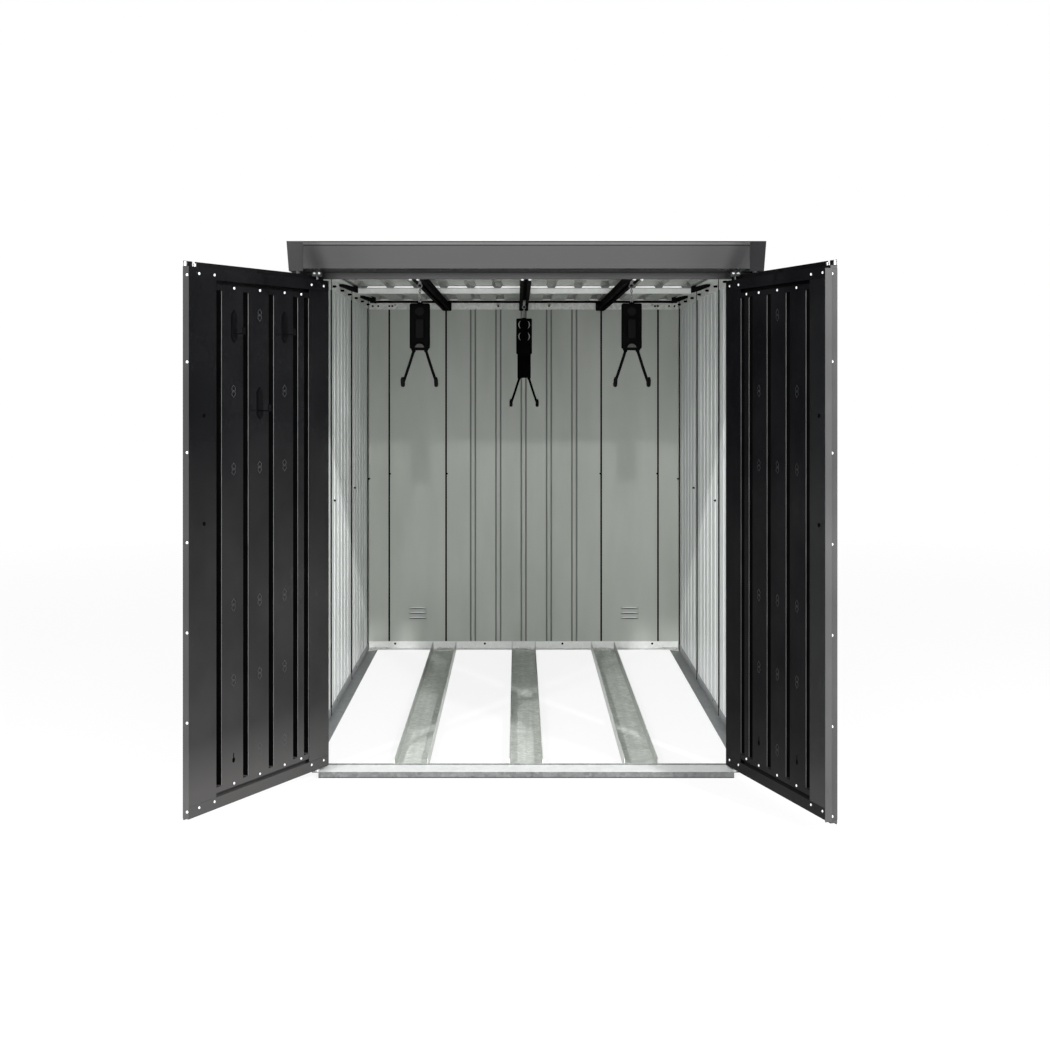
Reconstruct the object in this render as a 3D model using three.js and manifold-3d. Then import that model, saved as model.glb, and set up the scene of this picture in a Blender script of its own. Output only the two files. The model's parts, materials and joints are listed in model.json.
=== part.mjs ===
// Low sheet-metal bicycle locker with two hinged doors, shown standing open.
// Millimetres, +Z up, front towards -Y. The origin lies on the ground in the middle of the cabin,
// on the underside of the centre floor channel.
import * as THREE from 'three';
import { mergeVertices } from 'three/addons/utils/BufferGeometryUtils.js';
import Module from 'manifold-3d';

const wasm = await Module();
wasm.setup();

// Cabin sizes
const cabinWidth = 1194; // clear between the side walls
const cabinDepth = 2030; // hinge line to rear wall
const wallHeight = 1347;
const wallGauge = 1.5;
const wallFootGap = 2;
const seamGap = 1;
const seat = 0.3; // clearance where two pieces meet without touching
const overrun = 5; // how far a cutter reaches past what it cuts
const bite = 1; // how far two joined shapes sink into each other

// Wall ribs
const rearSheetWidth = 600;
const sheetsPerSide = 3;
const ribCount = 5;
const ribPitch = 98;
const ribMouth = 24;
const ribFloor = 12;
const ribDepth = 8;

// Posts
const frontPostDepth = 153; // behind the hinge line
const frontPostReturn = 10;
const rearPostLeg = 77;

// Vent louvres in the flat rear sheets
const ventCount = 3;
const ventWidth = 68;
const ventHeight = 7;
const ventPitch = 19;
const ventLowest = 114;

// Floor frame
const frameGauge = 2;
const baseLegHeight = 28;
const baseLegWidth = 36;
const sillHeight = 16;
const sillFront = 12; // ahead of the hinge line
const sillBack = 66; // behind the hinge line
const sillUpstand = 4;
const sillLipInset = 58; // from the cabin's side
const sillPlateInset = 41; // from the cabin's side
const sillEar = 10;

// Floor channels
const channelWidth = 90;
const channelFlange = 32;
const channelSpacing = 304;
const channelTab = 30;
const channelTabWidth = 60;

// Hinge pins
const pinInset = 53; // from the cabin's side
const pinRadius = 5;
const pinReach = 24;
const washerRadius = 6.5;

// Header
const headerDrop = 31; // below the wall top
const headerFront = 10;
const headerWebDepth = 18;
const headerHem = 8;

// Top rails
const topLegHeight = 36;
const topLegWidth = 30;
const railHoleCount = 8;
const railHoleRadius = 5.5;
const rearHoleCount = 6;

// Purlin
const purlinPlace = 1208; // behind the hinge line
const purlinDepth = 34;
const purlinDrop = 20; // below the wall top
const purlinTab = 30;

// Roof
const roofOverSide = 18;
const roofGauge = 1.5;
const roofFall = 8;
const roofOverFront = 50;
const roofOverRear = 35;
const roofLap = 40;
const roofRibCount = 13;
const roofRibPitch = 90;
const roofRibBase = 34;
const roofRibCrest = 20;
const roofRibHeight = 14;
const roofSideGap = 3;

// Fascias
const fasciaFront = 58; // ahead of the hinge line
const fasciaRise = 41; // above the wall top
const fasciaShelf = 88;
const fasciaLip = 12;
const sideFasciaDrop = 36; // below the wall top
const sideFasciaLean = 6;
const cornerWrap = 42;
const rearTrimDrop = 36; // below the wall top
const rearTrimReach = 21;

// Doors
const leafGap = 3; // between the closed doors
const tailGap = 9; // between a closed door and its post
const leafThickness = 17;
const leafGauge = 1.5;
const leafFootGap = 6; // above the sill
const leafHeadGap = 24; // below the header
const leafLowerLip = 3.5;
const leafUpstand = 13;
const notchWidth = 11;
const notchInset = 38.5; // from the free edge
const borderHeight = 27;
const recessHeight = 9;
const skinTuck = 20;
const skinBand = 13;
const freeStileWidth = 103.5;
const hingeStileWidth = 91;
const stileOverlap = 13;
const grooveCount = 4;
const freeGrooveInset = 12; // free stile to the last groove
const firstGrooveInset = 60.5; // hinge stile to the first of the evenly spaced grooves
const edgeGrooveInset = 11.5; // hinge stile to the groove at its edge
const grooveWidth = 20;
const grooveTaper = 3;
const leftOpening = 116.3; // degrees from closed
const rightOpening = 106.4;

// Closing strip on the right door
const stripInset = 8;
const stripLeg = 13;
const stripRise = 17.5;
const stripStep = 3.5;

// Door handles
const handleMiddle = 822;
const bowInset = 56.5; // from the free edge
const bowWidth = 22;
const bowSpan = 252; // between the screws
const bowFoot = 24;
const bowSlope = 12;
const bowRise = 20;
const bowGauge = 3;

// Tool hooks on the left door
const hookFlats = [0, 2, 1]; // the flat between two grooves that carries each hook
const hookDrops = [89, 93, 278]; // below the door's head
const hookShift = -5; // from the flat's middle towards the free edge
const hookWidth = 20;
const hookHeight = 79;
const hookPoint = 12;
const hookGauge = 3;
const hookArmWidth = 10;
const hookReach = 28;
const hookTurn = 16;
const hookArm = 59; // below the top

// Overhead rails
const trackSpacing = 296;
const trackWidth = 32;
const trackHeight = 21;
const trackSlot = 10;

// Runners and rings
const runnerLength = 40;
const runnerWidth = 26;
const runnerHeight = 12.5;
const neckWidth = 8;
const neckDrop = 5; // below the track
const ringRadius = 6;
const ringWire = 1.5;
const ringSides = 8;
const ringSteps = 16;

// Holders
const housingWidth = 56;
const housingHeight = 127;
const housingDepth = 34;
const housingCorner = 8;
const cornerSteps = 3;
const housingWall = 3.5;
const housingRoof = 12;
const stemRadius = 2.5;
const sliderGap = 0.6;
const sliderLength = 100;
const crossWidth = 40;
const crossHeight = 10;
const armRadius = 4;
const tipRadius = 6.5;
const armRoot = 16;
const armSpread = 46.5;
const armDrop = 101;
const hookForward = 32;
const hookUp = 20;
const armSteps = 14;
const tipSteps = 6;
const roundSides = 10;
const frontHolderPlace = 315; // behind the hinge line
const rearHolderPlace = 485; // ahead of the rear wall
const frontHolderDrop = 59; // from the track to the housing
const rearHolderDrop = 50;
const sliderDraw = 81;

// Places worked out from the sizes above
const half = cabinWidth / 2;
const hingeY = -cabinDepth / 2;
const rearY = cabinDepth / 2;
const pinOffset = half - pinInset;
const frameBack = hingeY + sillBack;
const sheetStart = hingeY + frontPostDepth;
const sideSheetWidth = (cabinDepth - frontPostDepth - rearPostLeg) / sheetsPerSide;
const roofRearUnder = wallHeight + wallGauge + seat;
const fallAngle = Math.atan(roofFall / cabinDepth);
const roofUnder = (y) => roofRearUnder + (rearY - y) * Math.tan(fallAngle);
const roofWidth = cabinWidth + 2 * roofOverSide;
const roofTop = wallHeight + fasciaRise;
const headerFoot = wallHeight - headerDrop;
const headerTop = headerFoot + frameGauge;
const purlinFoot = wallHeight - purlinDrop;
const trackFoot = purlinFoot - trackHeight;
const leafFoot = sillHeight + leafFootGap;
const leafHead = headerFoot - leafHeadGap;
const leafFree = pinOffset - leafGap / 2;
const leafTail = pinInset - wallGauge - tailGap;
const firstGroove = hingeStileWidth - leafTail + firstGrooveInset;
const lastGroove = leafFree - freeStileWidth - freeGrooveInset;
const groovePitch = (lastGroove - firstGroove) / (grooveCount - 1);

// Finishes
function finish(color, roughness, metalness) {
  return () => new THREE.MeshStandardMaterial({ color, roughness, metalness });
}
const galvanised = finish(0xb9bdbb, 0.42, 0.85);
const anthracite = finish(0x3b3c3f, 0.45, 0.2);
const backCoat = finish(0xa9aea6, 0.5, 0.15);
const blackPaint = finish(0x17181a, 0.4, 0.2);
const blackPlastic = finish(0x141414, 0.55, 0);
const zinc = finish(0xd4d6d8, 0.3, 0.9);

// The path set off by a distance to its left, or to its right if negative, with mitred corners
function setOff(path, distance) {
  const points = path.map(([u, v]) => new THREE.Vector2(u, v));
  const legs = points.slice(1).map((point, i) => point.clone().sub(points[i]).normalize());
  return points.map((point, i) => {
    const before = legs[Math.max(i - 1, 0)];
    const after = legs[Math.min(i, legs.length - 1)];
    const middle = before.clone().add(after).normalize();
    const stretch = distance / middle.dot(before);
    return [point.x - middle.y * stretch, point.y + middle.x * stretch];
  });
}
// The closed outline of a folded sheet: one face follows the path, the other is set off by the gauge
const folded = (path, gauge) => [...path, ...setOff(path, gauge).reverse()];

// Extrudes an outline along x (outline in y, z), y (outline in x, z) or z (outline in x, y)
const runFrames = {
  x: [new THREE.Vector3(0, 1, 0), new THREE.Vector3(0, 0, 1), new THREE.Vector3(1, 0, 0)],
  y: [new THREE.Vector3(0, 0, 1), new THREE.Vector3(1, 0, 0), new THREE.Vector3(0, 1, 0)],
  z: [new THREE.Vector3(1, 0, 0), new THREE.Vector3(0, 1, 0), new THREE.Vector3(0, 0, 1)],
};
function run(axis, outline, from, to) {
  const points = outline.map(([u, v]) => (axis === 'y' ? new THREE.Vector2(v, u) : new THREE.Vector2(u, v)));
  const shape = new THREE.Shape(points);
  const geometry = new THREE.ExtrudeGeometry(shape, { depth: to - from, bevelEnabled: false });
  const [u, v, along] = runFrames[axis];
  geometry.applyMatrix4(new THREE.Matrix4().makeBasis(u, v, along));
  geometry.translate(along.x * from, along.y * from, along.z * from);
  return geometry;
}

// The span of a width around a middle
const around = (middle, width) => [middle - width / 2, middle + width / 2];

function block([x0, x1], [y0, y1], [z0, z1]) {
  const geometry = new THREE.BoxGeometry(x1 - x0, y1 - y0, z1 - z0);
  geometry.translate((x0 + x1) / 2, (y0 + y1) / 2, (z0 + z1) / 2);
  return geometry;
}

// A round bar from one point to another
function bar(radius, from, to) {
  const start = new THREE.Vector3(...from);
  const way = new THREE.Vector3(...to).sub(start);
  const geometry = new THREE.CylinderGeometry(radius, radius, way.length(), roundSides);
  const upright = new THREE.Vector3(0, 1, 0);
  geometry.applyQuaternion(new THREE.Quaternion().setFromUnitVectors(upright, way.clone().normalize()));
  geometry.translate(...start.addScaledVector(way, 1 / 2).toArray());
  return geometry;
}

// A ring of round wire in the plane across the given axis
function ring(centre, axis) {
  const geometry = new THREE.TorusGeometry(ringRadius, ringWire, ringSides, ringSteps);
  if (axis === 'x') geometry.rotateY(Math.PI / 2);
  if (axis === 'y') geometry.rotateX(Math.PI / 2);
  geometry.translate(...centre);
  return geometry;
}

// A round rod that follows a curve
function rod(points, radius, steps) {
  const section = new THREE.Shape();
  section.absarc(0, 0, radius, 0, 2 * Math.PI, false);
  const extrudePath = new THREE.CatmullRomCurve3(points.map((point) => new THREE.Vector3(...point)));
  const settings = { steps, extrudePath, curveSegments: ringSides, bevelEnabled: false };
  return new THREE.ExtrudeGeometry(section, settings);
}

// Welding, joining and cutting
function welded(geometry) {
  geometry.deleteAttribute('normal');
  geometry.deleteAttribute('uv');
  return mergeVertices(geometry);
}
function solid(geometry) {
  const closed = welded(geometry.clone());
  const vertProperties = new Float32Array(closed.attributes.position.array);
  const triVerts = new Uint32Array(closed.index.array);
  return new wasm.Manifold(new wasm.Mesh({ numProp: 3, vertProperties, triVerts }));
}
function meshed(body) {
  const { vertProperties, triVerts } = body.getMesh();
  const geometry = new THREE.BufferGeometry();
  geometry.setAttribute('position', new THREE.BufferAttribute(vertProperties, 3));
  geometry.setIndex(new THREE.BufferAttribute(triVerts, 1));
  return geometry;
}
const joined = (...pieces) => meshed(pieces.map(solid).reduce((sum, piece) => sum.add(piece)));
const cut = (piece, ...tools) =>
  meshed(tools.map(solid).reduce((rest, tool) => rest.subtract(tool), solid(piece)));

// The same piece on the other side of the centre line
function mirrored(geometry) {
  const copy = welded(geometry.clone());
  copy.scale(-1, 1, 1);
  const index = copy.index.array;
  for (let i = 0; i < index.length; i += 3) {
    [index[i], index[i + 1]] = [index[i + 1], index[i]];
  }
  return copy;
}

const locker = new THREE.Group();
function add(name, geometry, material, parent = locker) {
  const shaped = welded(geometry);
  shaped.computeVertexNormals();
  const mesh = new THREE.Mesh(shaped, material());
  mesh.name = name;
  parent.add(mesh);
}
function addPair(name, geometry, material) {
  add(`left_${name}`, mirrored(geometry), material);
  add(`right_${name}`, geometry, material);
}

// Floor frame
function hingePin(fromZ, toZ, side) {
  return bar(pinRadius, [side * pinOffset, hingeY, fromZ], [side * pinOffset, hingeY, toZ]);
}
function pinWasher(side) {
  const centre = [side * pinOffset, hingeY];
  return bar(washerRadius, [...centre, sillHeight - bite], [...centre, leafFoot - seat]);
}
function frontSill() {
  const front = hingeY - sillFront;
  const plateFoot = sillHeight - frameGauge;
  const lip = block(around(0, cabinWidth - 2 * sillLipInset), [front, front + frameGauge], [0, sillHeight]);
  const treadX = around(0, cabinWidth - 2 * sillPlateInset);
  const tread = block(treadX, [front, frameBack], [plateFoot, sillHeight]);
  const ears = block([-half, half], [frameBack - sillEar, frameBack], [plateFoot, sillHeight]);
  const back = block([-half, half], [frameBack - frameGauge, frameBack], [0, sillHeight + sillUpstand]);
  const pins = [-1, 1].flatMap((side) => [
    hingePin(plateFoot, sillHeight + pinReach, side),
    pinWasher(side),
  ]);
  return joined(lip, tread, ears, back, ...pins);
}
const channelFlat = rearY - baseLegWidth;
function floorChannel(x) {
  const edge = channelWidth / 2;
  const section = [[x - edge, channelFlange], [x - edge, 0], [x + edge, 0], [x + edge, channelFlange]];
  const tabSpan = around(x, channelTabWidth);
  return joined(
    run('y', folded(section, frameGauge), frameBack, channelFlat),
    block(tabSpan, [channelFlat - channelTab, channelFlat + channelTab], [frameGauge, 2 * frameGauge]),
    block(tabSpan, [frameBack, frameBack + frameGauge], [frameGauge, sillHeight]),
  );
}
add('front_sill', frontSill(), galvanised);
const sideBase = [[half - baseLegWidth, 0], [half, 0], [half, baseLegHeight]];
addPair('base_rail', run('y', folded(sideBase, frameGauge), frameBack, channelFlat), galvanised);
const rearBase = [[channelFlat, 0], [rearY, 0], [rearY, baseLegHeight]];
add('rear_base_rail', run('x', folded(rearBase, frameGauge), -half, half), galvanised);
add('left_floor_channel', floorChannel(-channelSpacing), galvanised);
add('centre_floor_channel', floorChannel(0), galvanised);
add('right_floor_channel', floorChannel(channelSpacing), galvanised);

// Posts and wall sheets
function ribbedPath(middle, width) {
  const edge = width / 2 - seamGap / 2;
  const ribs = Array.from({ length: ribCount }, (_, i) => middle + (i - (ribCount - 1) / 2) * ribPitch);
  return [
    [middle - edge, ribDepth],
    [middle - edge, 0],
    ...ribs.flatMap((rib) => [
      [rib - ribMouth / 2, 0],
      [rib - ribFloor / 2, ribDepth],
      [rib + ribFloor / 2, ribDepth],
      [rib + ribMouth / 2, 0],
    ]),
    [middle + edge, 0],
    [middle + edge, ribDepth],
  ];
}
function sideSheet(place) {
  const middle = sheetStart + (place + 1 / 2) * sideSheetWidth;
  const path = ribbedPath(middle, sideSheetWidth).map(([along, out]) => [half + out, along]);
  return run('z', folded(path, -wallGauge), wallFootGap, wallHeight);
}
function rearRibbedSheet() {
  const path = ribbedPath(0, rearSheetWidth).map(([along, out]) => [along, rearY + out]);
  return run('z', folded(path, wallGauge), wallFootGap, wallHeight);
}
function rearVentSheet() {
  const inner = rearSheetWidth / 2 + seamGap / 2;
  const outer = half - rearPostLeg - seamGap / 2;
  const middle = (inner + outer) / 2;
  const path = [[inner, rearY + ribDepth], [inner, rearY], [outer, rearY], [outer, rearY + ribDepth]];
  const slots = Array.from({ length: ventCount }, (_, i) => {
    const foot = ventLowest + i * ventPitch;
    return block(around(middle, ventWidth), [rearY - overrun, rearY + overrun], [foot, foot + ventHeight]);
  });
  return cut(run('z', folded(path, wallGauge), wallFootGap, wallHeight), ...slots);
}
const postFront = hingeY - headerFront;
const frontPost = [[half, sheetStart], [half, postFront], [half + frontPostReturn, postFront]];
const rearPost = [[half, rearY - rearPostLeg], [half, rearY], [half - rearPostLeg, rearY]];
addPair('front_post', run('z', folded(frontPost, wallGauge), 0, wallHeight), backCoat);
addPair('rear_post', run('z', folded(rearPost, -wallGauge), 0, wallHeight), backCoat);
addPair('front_wall_sheet', sideSheet(0), backCoat);
addPair('middle_wall_sheet', sideSheet(1), backCoat);
addPair('rear_wall_sheet', sideSheet(2), backCoat);
addPair('vent_sheet', rearVentSheet(), backCoat);
add('back_wall_sheet', rearRibbedSheet(), backCoat);

// Header and top rails
function header() {
  const webFoot = headerFoot - headerWebDepth;
  const web = [frameBack - frameGauge, frameBack];
  const webTop = roofUnder(frameBack) - seat;
  const pins = [-1, 1].map((side) => hingePin(leafHead - pinReach, headerTop, side));
  return joined(
    block([-half, half], [hingeY - headerFront, frameBack], [headerFoot, headerTop]),
    block([-half, half], web, [webFoot, webTop]),
    block([-half, half], [frameBack - headerHem, frameBack], [webFoot, webFoot + frameGauge]),
    ...pins,
  );
}
const legMiddle = wallHeight - topLegHeight / 2;
function sideTopRail() {
  const path = [[half, wallHeight - topLegHeight], [half, wallHeight], [half - topLegWidth, wallHeight]];
  const rearEnd = rearY - topLegWidth;
  const pitch = (rearEnd - frameBack) / railHoleCount;
  const holes = Array.from({ length: railHoleCount }, (_, i) => {
    const y = frameBack + (i + 1 / 2) * pitch;
    return bar(railHoleRadius, [half - overrun, y, legMiddle], [half + overrun, y, legMiddle]);
  });
  return cut(run('y', folded(path, frameGauge), frameBack, rearEnd), ...holes);
}
function rearTopRail() {
  const path = [[rearY, wallHeight - topLegHeight], [rearY, wallHeight], [rearY - topLegWidth, wallHeight]];
  const pitch = cabinWidth / rearHoleCount;
  const holes = Array.from({ length: rearHoleCount }, (_, i) => {
    const x = (i + 1 / 2) * pitch - half;
    return bar(railHoleRadius, [x, rearY - overrun, legMiddle], [x, rearY + overrun, legMiddle]);
  });
  return cut(run('x', folded(path, frameGauge), -half, half), ...holes);
}
add('header', header(), anthracite);
addPair('top_rail', sideTopRail(), galvanised);
add('rear_top_rail', rearTopRail(), galvanised);

// Purlin, hung between the side top rails
const purlinY = hingeY + purlinPlace;
function purlin() {
  const top = roofUnder(purlinY + purlinDepth) - seat;
  const reach = half - topLegWidth - seat;
  const tabTop = wallHeight - frameGauge;
  const path = [[purlinDepth, purlinFoot], [0, purlinFoot], [0, top], [purlinDepth, top]];
  const outline = folded(path.map(([y, z]) => [purlinY + y, z]), -frameGauge);
  const tabs = [-1, 1].map((side) => {
    const across = [side * (reach - purlinTab), side * (half - frameGauge)].sort((a, b) => a - b);
    return block(across, [purlinY, purlinY + purlinDepth], [tabTop - frameGauge, tabTop]);
  });
  return joined(run('x', outline, -reach, reach), ...tabs);
}
add('purlin', purlin(), galvanised);

// Roof sheets, tilted by the fall
const roofGroup = new THREE.Group();
roofGroup.position.set(0, rearY, roofRearUnder);
roofGroup.rotation.x = -fallAngle;
locker.add(roofGroup);
function roofSheet(from, to, lift) {
  const edge = half - roofSideGap;
  const ribs = Array.from({ length: roofRibCount }, (_, i) => (i - (roofRibCount - 1) / 2) * roofRibPitch);
  const path = [
    [-edge, 0],
    ...ribs.flatMap((rib) => [
      [rib - roofRibBase / 2, 0],
      [rib - roofRibCrest / 2, roofRibHeight],
      [rib + roofRibCrest / 2, roofRibHeight],
      [rib + roofRibBase / 2, 0],
    ]),
    [edge, 0],
  ];
  return run('y', folded(setOff(path, lift), roofGauge), from, to);
}
const lapY = purlinY - rearY;
const lapLift = roofGauge + seat;
const roofFront = -cabinDepth - roofOverFront;
add('front_roof_sheet', roofSheet(roofFront, lapY + roofLap, lapLift), galvanised, roofGroup);
add('rear_roof_sheet', roofSheet(lapY, roofOverRear, 0), galvanised, roofGroup);

// Fascias and rear trim
const fasciaPlane = hingeY - fasciaFront;
function frontFascia() {
  const reach = roofWidth / 2 - fasciaLip - seat;
  const path = [[fasciaPlane, headerTop], [fasciaPlane, roofTop], [fasciaPlane + fasciaLip, roofTop]];
  const shelfY = [fasciaPlane, fasciaPlane + fasciaShelf];
  const shelf = block([seat - half, half - seat], shelfY, [headerTop, headerTop + wallGauge]);
  return joined(run('x', folded(path, -wallGauge), -reach, reach), shelf);
}
add('front_fascia', frontFascia(), anthracite);
function sideFascia() {
  const sideFasciaFoot = wallHeight - sideFasciaDrop;
  const top = roofWidth / 2;
  const foot = top - sideFasciaLean;
  const inner = top - cornerWrap;
  const wrapPlane = fasciaPlane - seat;
  const rear = rearY + roofOverRear;
  const face = [[foot, sideFasciaFoot], [top, roofTop], [top - fasciaLip, roofTop]];
  const wrap = [[foot, sideFasciaFoot], [top, roofTop], [inner, roofTop], [inner, sideFasciaFoot]];
  const faceAt = (z) => foot + (sideFasciaLean * (z - sideFasciaFoot)) / (roofTop - sideFasciaFoot);
  const shelfReach = faceAt(wallHeight) - wallGauge / 2;
  return joined(
    run('y', folded(face, wallGauge), wrapPlane - wallGauge, rear),
    run('y', wrap, wrapPlane - wallGauge, wrapPlane),
    block([half, shelfReach], [hingeY, rear], [wallHeight, wallHeight + wallGauge]),
  );
}
addPair('side_fascia', sideFascia(), anthracite);
const trimReach = rearY + rearTrimReach;
const trimTop = wallHeight + wallGauge;
const rearTrim = [[rearY, trimTop], [trimReach, trimTop], [trimReach, wallHeight - rearTrimDrop]];
add('rear_trim', run('x', folded(rearTrim, -wallGauge), -half + seat, half - seat), anthracite);

// Doors, drawn with the pin on the z axis and the free edge towards +x, closed along the x axis
const face = leafThickness / 2;
const skinFoot = leafFoot + borderHeight + recessHeight;
const skinHead = leafHead - borderHeight - recessHeight;
const outerFoot = skinFoot + skinTuck;
const outerHead = skinHead - skinTuck;
const innerPlate = [face - leafGauge, face];
const outerPlate = [-face, leafGauge - face];
function doorRail(edge, inward, lip) {
  const outerEnd = edge + inward * (borderHeight + recessHeight + skinTuck);
  const path = [[-face, outerEnd], [-face, edge], [face, edge], [face, edge + inward * borderHeight]];
  const span = [leafGauge + seat - leafTail, leafFree - leafGauge - seat];
  const upright = [edge - inward * lip, edge + inward * bite].sort((a, b) => a - b);
  const notchZ = [edge - inward * (lip + overrun), edge - inward * seat].sort((a, b) => a - b);
  const notch = block(around(leafFree - notchInset, notchWidth), [-face - overrun, 0], notchZ);
  const channel = run('x', folded(path, inward * leafGauge), ...span);
  const hole = bar(pinRadius + seat, [0, 0, edge - inward * overrun], [0, 0, edge + inward * overrun]);
  return cut(joined(channel, block(span, outerPlate, upright)), hole, notch);
}
function doorStile(edge, width, inward) {
  const across = [edge, edge + inward * width].sort((a, b) => a - b);
  const web = [edge, edge + inward * leafGauge].sort((a, b) => a - b);
  const innerZ = [leafFoot + borderHeight + seat, leafHead - borderHeight - seat];
  return joined(
    block(web, [-face, face], [leafFoot, leafHead]),
    block(across, innerPlate, innerZ),
    block(across, outerPlate, [outerFoot + seat, outerHead - seat]),
  );
}
function doorSkin() {
  const plane = face - leafGauge - seat;
  const floor = 2 * leafGauge + seat - face;
  const start = hingeStileWidth - leafTail - stileOverlap;
  const end = leafFree - freeStileWidth + stileOverlap;
  const evenly = Array.from({ length: grooveCount }, (_, i) => firstGroove + i * groovePitch);
  const grooves = [hingeStileWidth - leafTail + edgeGrooveInset, ...evenly];
  const path = [
    [start, plane],
    ...grooves.flatMap((groove) => [
      [groove - grooveWidth / 2, plane],
      [groove - grooveWidth / 2 + grooveTaper, floor],
      [groove + grooveWidth / 2 - grooveTaper, floor],
      [groove + grooveWidth / 2, plane],
    ]),
    [end, plane],
  ];
  const skinGauge = [plane - leafGauge, plane];
  const bandFoot = [skinFoot, skinFoot + skinBand];
  const bandHead = [skinHead - skinBand, skinHead];
  const caps = grooves.flatMap((groove) => {
    const deep = [floor - leafGauge, plane];
    return [
      block(around(groove, grooveWidth), deep, [bandFoot[1] - leafGauge, bandFoot[1]]),
      block(around(groove, grooveWidth), deep, [bandHead[0], bandHead[0] + leafGauge]),
    ];
  });
  return joined(
    run('z', folded(path, -leafGauge), bandFoot[1], bandHead[0]),
    block([start, end], skinGauge, bandFoot),
    block([start, end], skinGauge, bandHead),
    ...caps,
  );
}
function doorHandle() {
  const back = -face - seat;
  const footEnd = (bowSpan + bowFoot) / 2;
  const riseStart = (bowSpan - bowFoot) / 2;
  const riseEnd = riseStart - bowSlope;
  const path = [
    [back, handleMiddle - footEnd],
    [back, handleMiddle - riseStart],
    [back - bowRise, handleMiddle - riseEnd],
    [back - bowRise, handleMiddle + riseEnd],
    [back, handleMiddle + riseStart],
    [back, handleMiddle + footEnd],
  ];
  return run('x', folded(path, bowGauge), ...around(leafFree - bowInset, bowWidth));
}
function closingStrip() {
  const x = leafFree + seat + leafGauge;
  const step = face + stripStep;
  const path = [[x, seat - face], [x, step], [x + stripLeg, step], [x + stripLeg, step + stripRise]];
  return run('z', folded(path, leafGauge), leafFoot + stripInset, leafHead - stripInset);
}
function toolHook(flat, drop) {
  const middle = firstGroove + (flat + 1 / 2) * groovePitch + hookShift;
  const top = leafHead - drop;
  const y = face - leafGauge;
  const foot = top - hookHeight;
  const outline = [
    [middle, top],
    [middle - hookWidth / 2, top - hookPoint],
    [middle - hookWidth / 2, foot + hookPoint],
    [middle, foot],
    [middle + hookWidth / 2, foot + hookPoint],
    [middle + hookWidth / 2, top - hookPoint],
  ];
  const plate = run('y', outline, y, y + hookGauge);
  const armZ = top - hookArm;
  const tip = y + hookGauge + hookReach;
  const arm = [[y + hookGauge - bite, armZ], [tip, armZ], [tip, armZ + hookTurn]];
  return joined(plate, run('x', folded(arm, hookGauge), ...around(middle, hookArmWidth)));
}
function door(name, side, degrees) {
  const group = new THREE.Group();
  group.position.set(side * pinOffset, hingeY, 0);
  group.rotation.z = side * THREE.MathUtils.degToRad(degrees);
  locker.add(group);
  const hand = (geometry) => (side < 0 ? geometry : mirrored(geometry));
  add(`${name}_door_skin`, hand(doorSkin()), anthracite, group);
  add(`${name}_door_top_rail`, hand(doorRail(leafHead, -1, leafUpstand)), anthracite, group);
  add(`${name}_door_bottom_rail`, hand(doorRail(leafFoot, 1, leafLowerLip)), anthracite, group);
  add(`${name}_door_free_stile`, hand(doorStile(leafFree, freeStileWidth, -1)), anthracite, group);
  add(`${name}_door_hinge_stile`, hand(doorStile(-leafTail, hingeStileWidth, 1)), anthracite, group);
  add(`${name}_door_handle`, hand(doorHandle()), blackPaint, group);
  return group;
}
const leftDoor = door('left', -1, leftOpening);
const rightDoor = door('right', 1, rightOpening);
add('closing_strip', mirrored(closingStrip()), anthracite, rightDoor);
hookFlats.forEach((flat, i) => {
  add(`tool_hook_${i + 1}`, toolHook(flat, hookDrops[i]), blackPaint, leftDoor);
});

// Overhead rails, runners and holders
function track(x) {
  const edge = trackWidth / 2;
  const lip = trackSlot / 2;
  const path = [
    [x - lip, trackFoot],
    [x - edge, trackFoot],
    [x - edge, purlinFoot],
    [x + edge, purlinFoot],
    [x + edge, trackFoot],
    [x + lip, trackFoot],
  ];
  return run('y', folded(path, -frameGauge), frameBack, rearY - frameGauge);
}
const neckFoot = trackFoot - neckDrop;
const upperRing = neckFoot + ringWire - ringRadius;
const pivotHeight = upperRing - ringRadius + 2 * ringWire + seat;
const lowerRing = pivotHeight - ringRadius;
function runner(x, y) {
  const foot = trackFoot + frameGauge + seat;
  return joined(
    block(around(x, runnerWidth), around(y, runnerLength), [foot, foot + runnerHeight]),
    block(around(x, neckWidth), around(y, neckWidth), [neckFoot, foot + bite]),
    ring([x, y, upperRing], 'y'),
  );
}
function roundedRect(x, z, width, height, radius) {
  const shape = new THREE.Path();
  const [w, h] = [width / 2 - radius, height / 2 - radius];
  shape.absarc(x + w, z + h, radius, 0, Math.PI / 2);
  shape.absarc(x - w, z + h, radius, Math.PI / 2, Math.PI);
  shape.absarc(x - w, z - h, radius, Math.PI, 3 * Math.PI / 2);
  shape.absarc(x + w, z - h, radius, 3 * Math.PI / 2, 2 * Math.PI);
  return shape.getPoints(cornerSteps).map((point) => [point.x, point.y]);
}
function housing(x, y, top) {
  const foot = top - housingHeight;
  const outline = roundedRect(x, (top + foot) / 2, housingWidth, housingHeight, housingCorner);
  const shell = run('y', outline, ...around(y, housingDepth));
  const pocketX = around(x, housingWidth - 2 * housingWall);
  const pocketY = around(y, housingDepth - 2 * housingWall);
  const pocket = block(pocketX, pocketY, [foot - overrun, top - housingRoof]);
  const stem = bar(stemRadius, [x, y, top - bite], [x, y, lowerRing - ringRadius]);
  return joined(cut(shell, pocket), stem, ring([x, y, lowerRing], 'x'));
}
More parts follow.
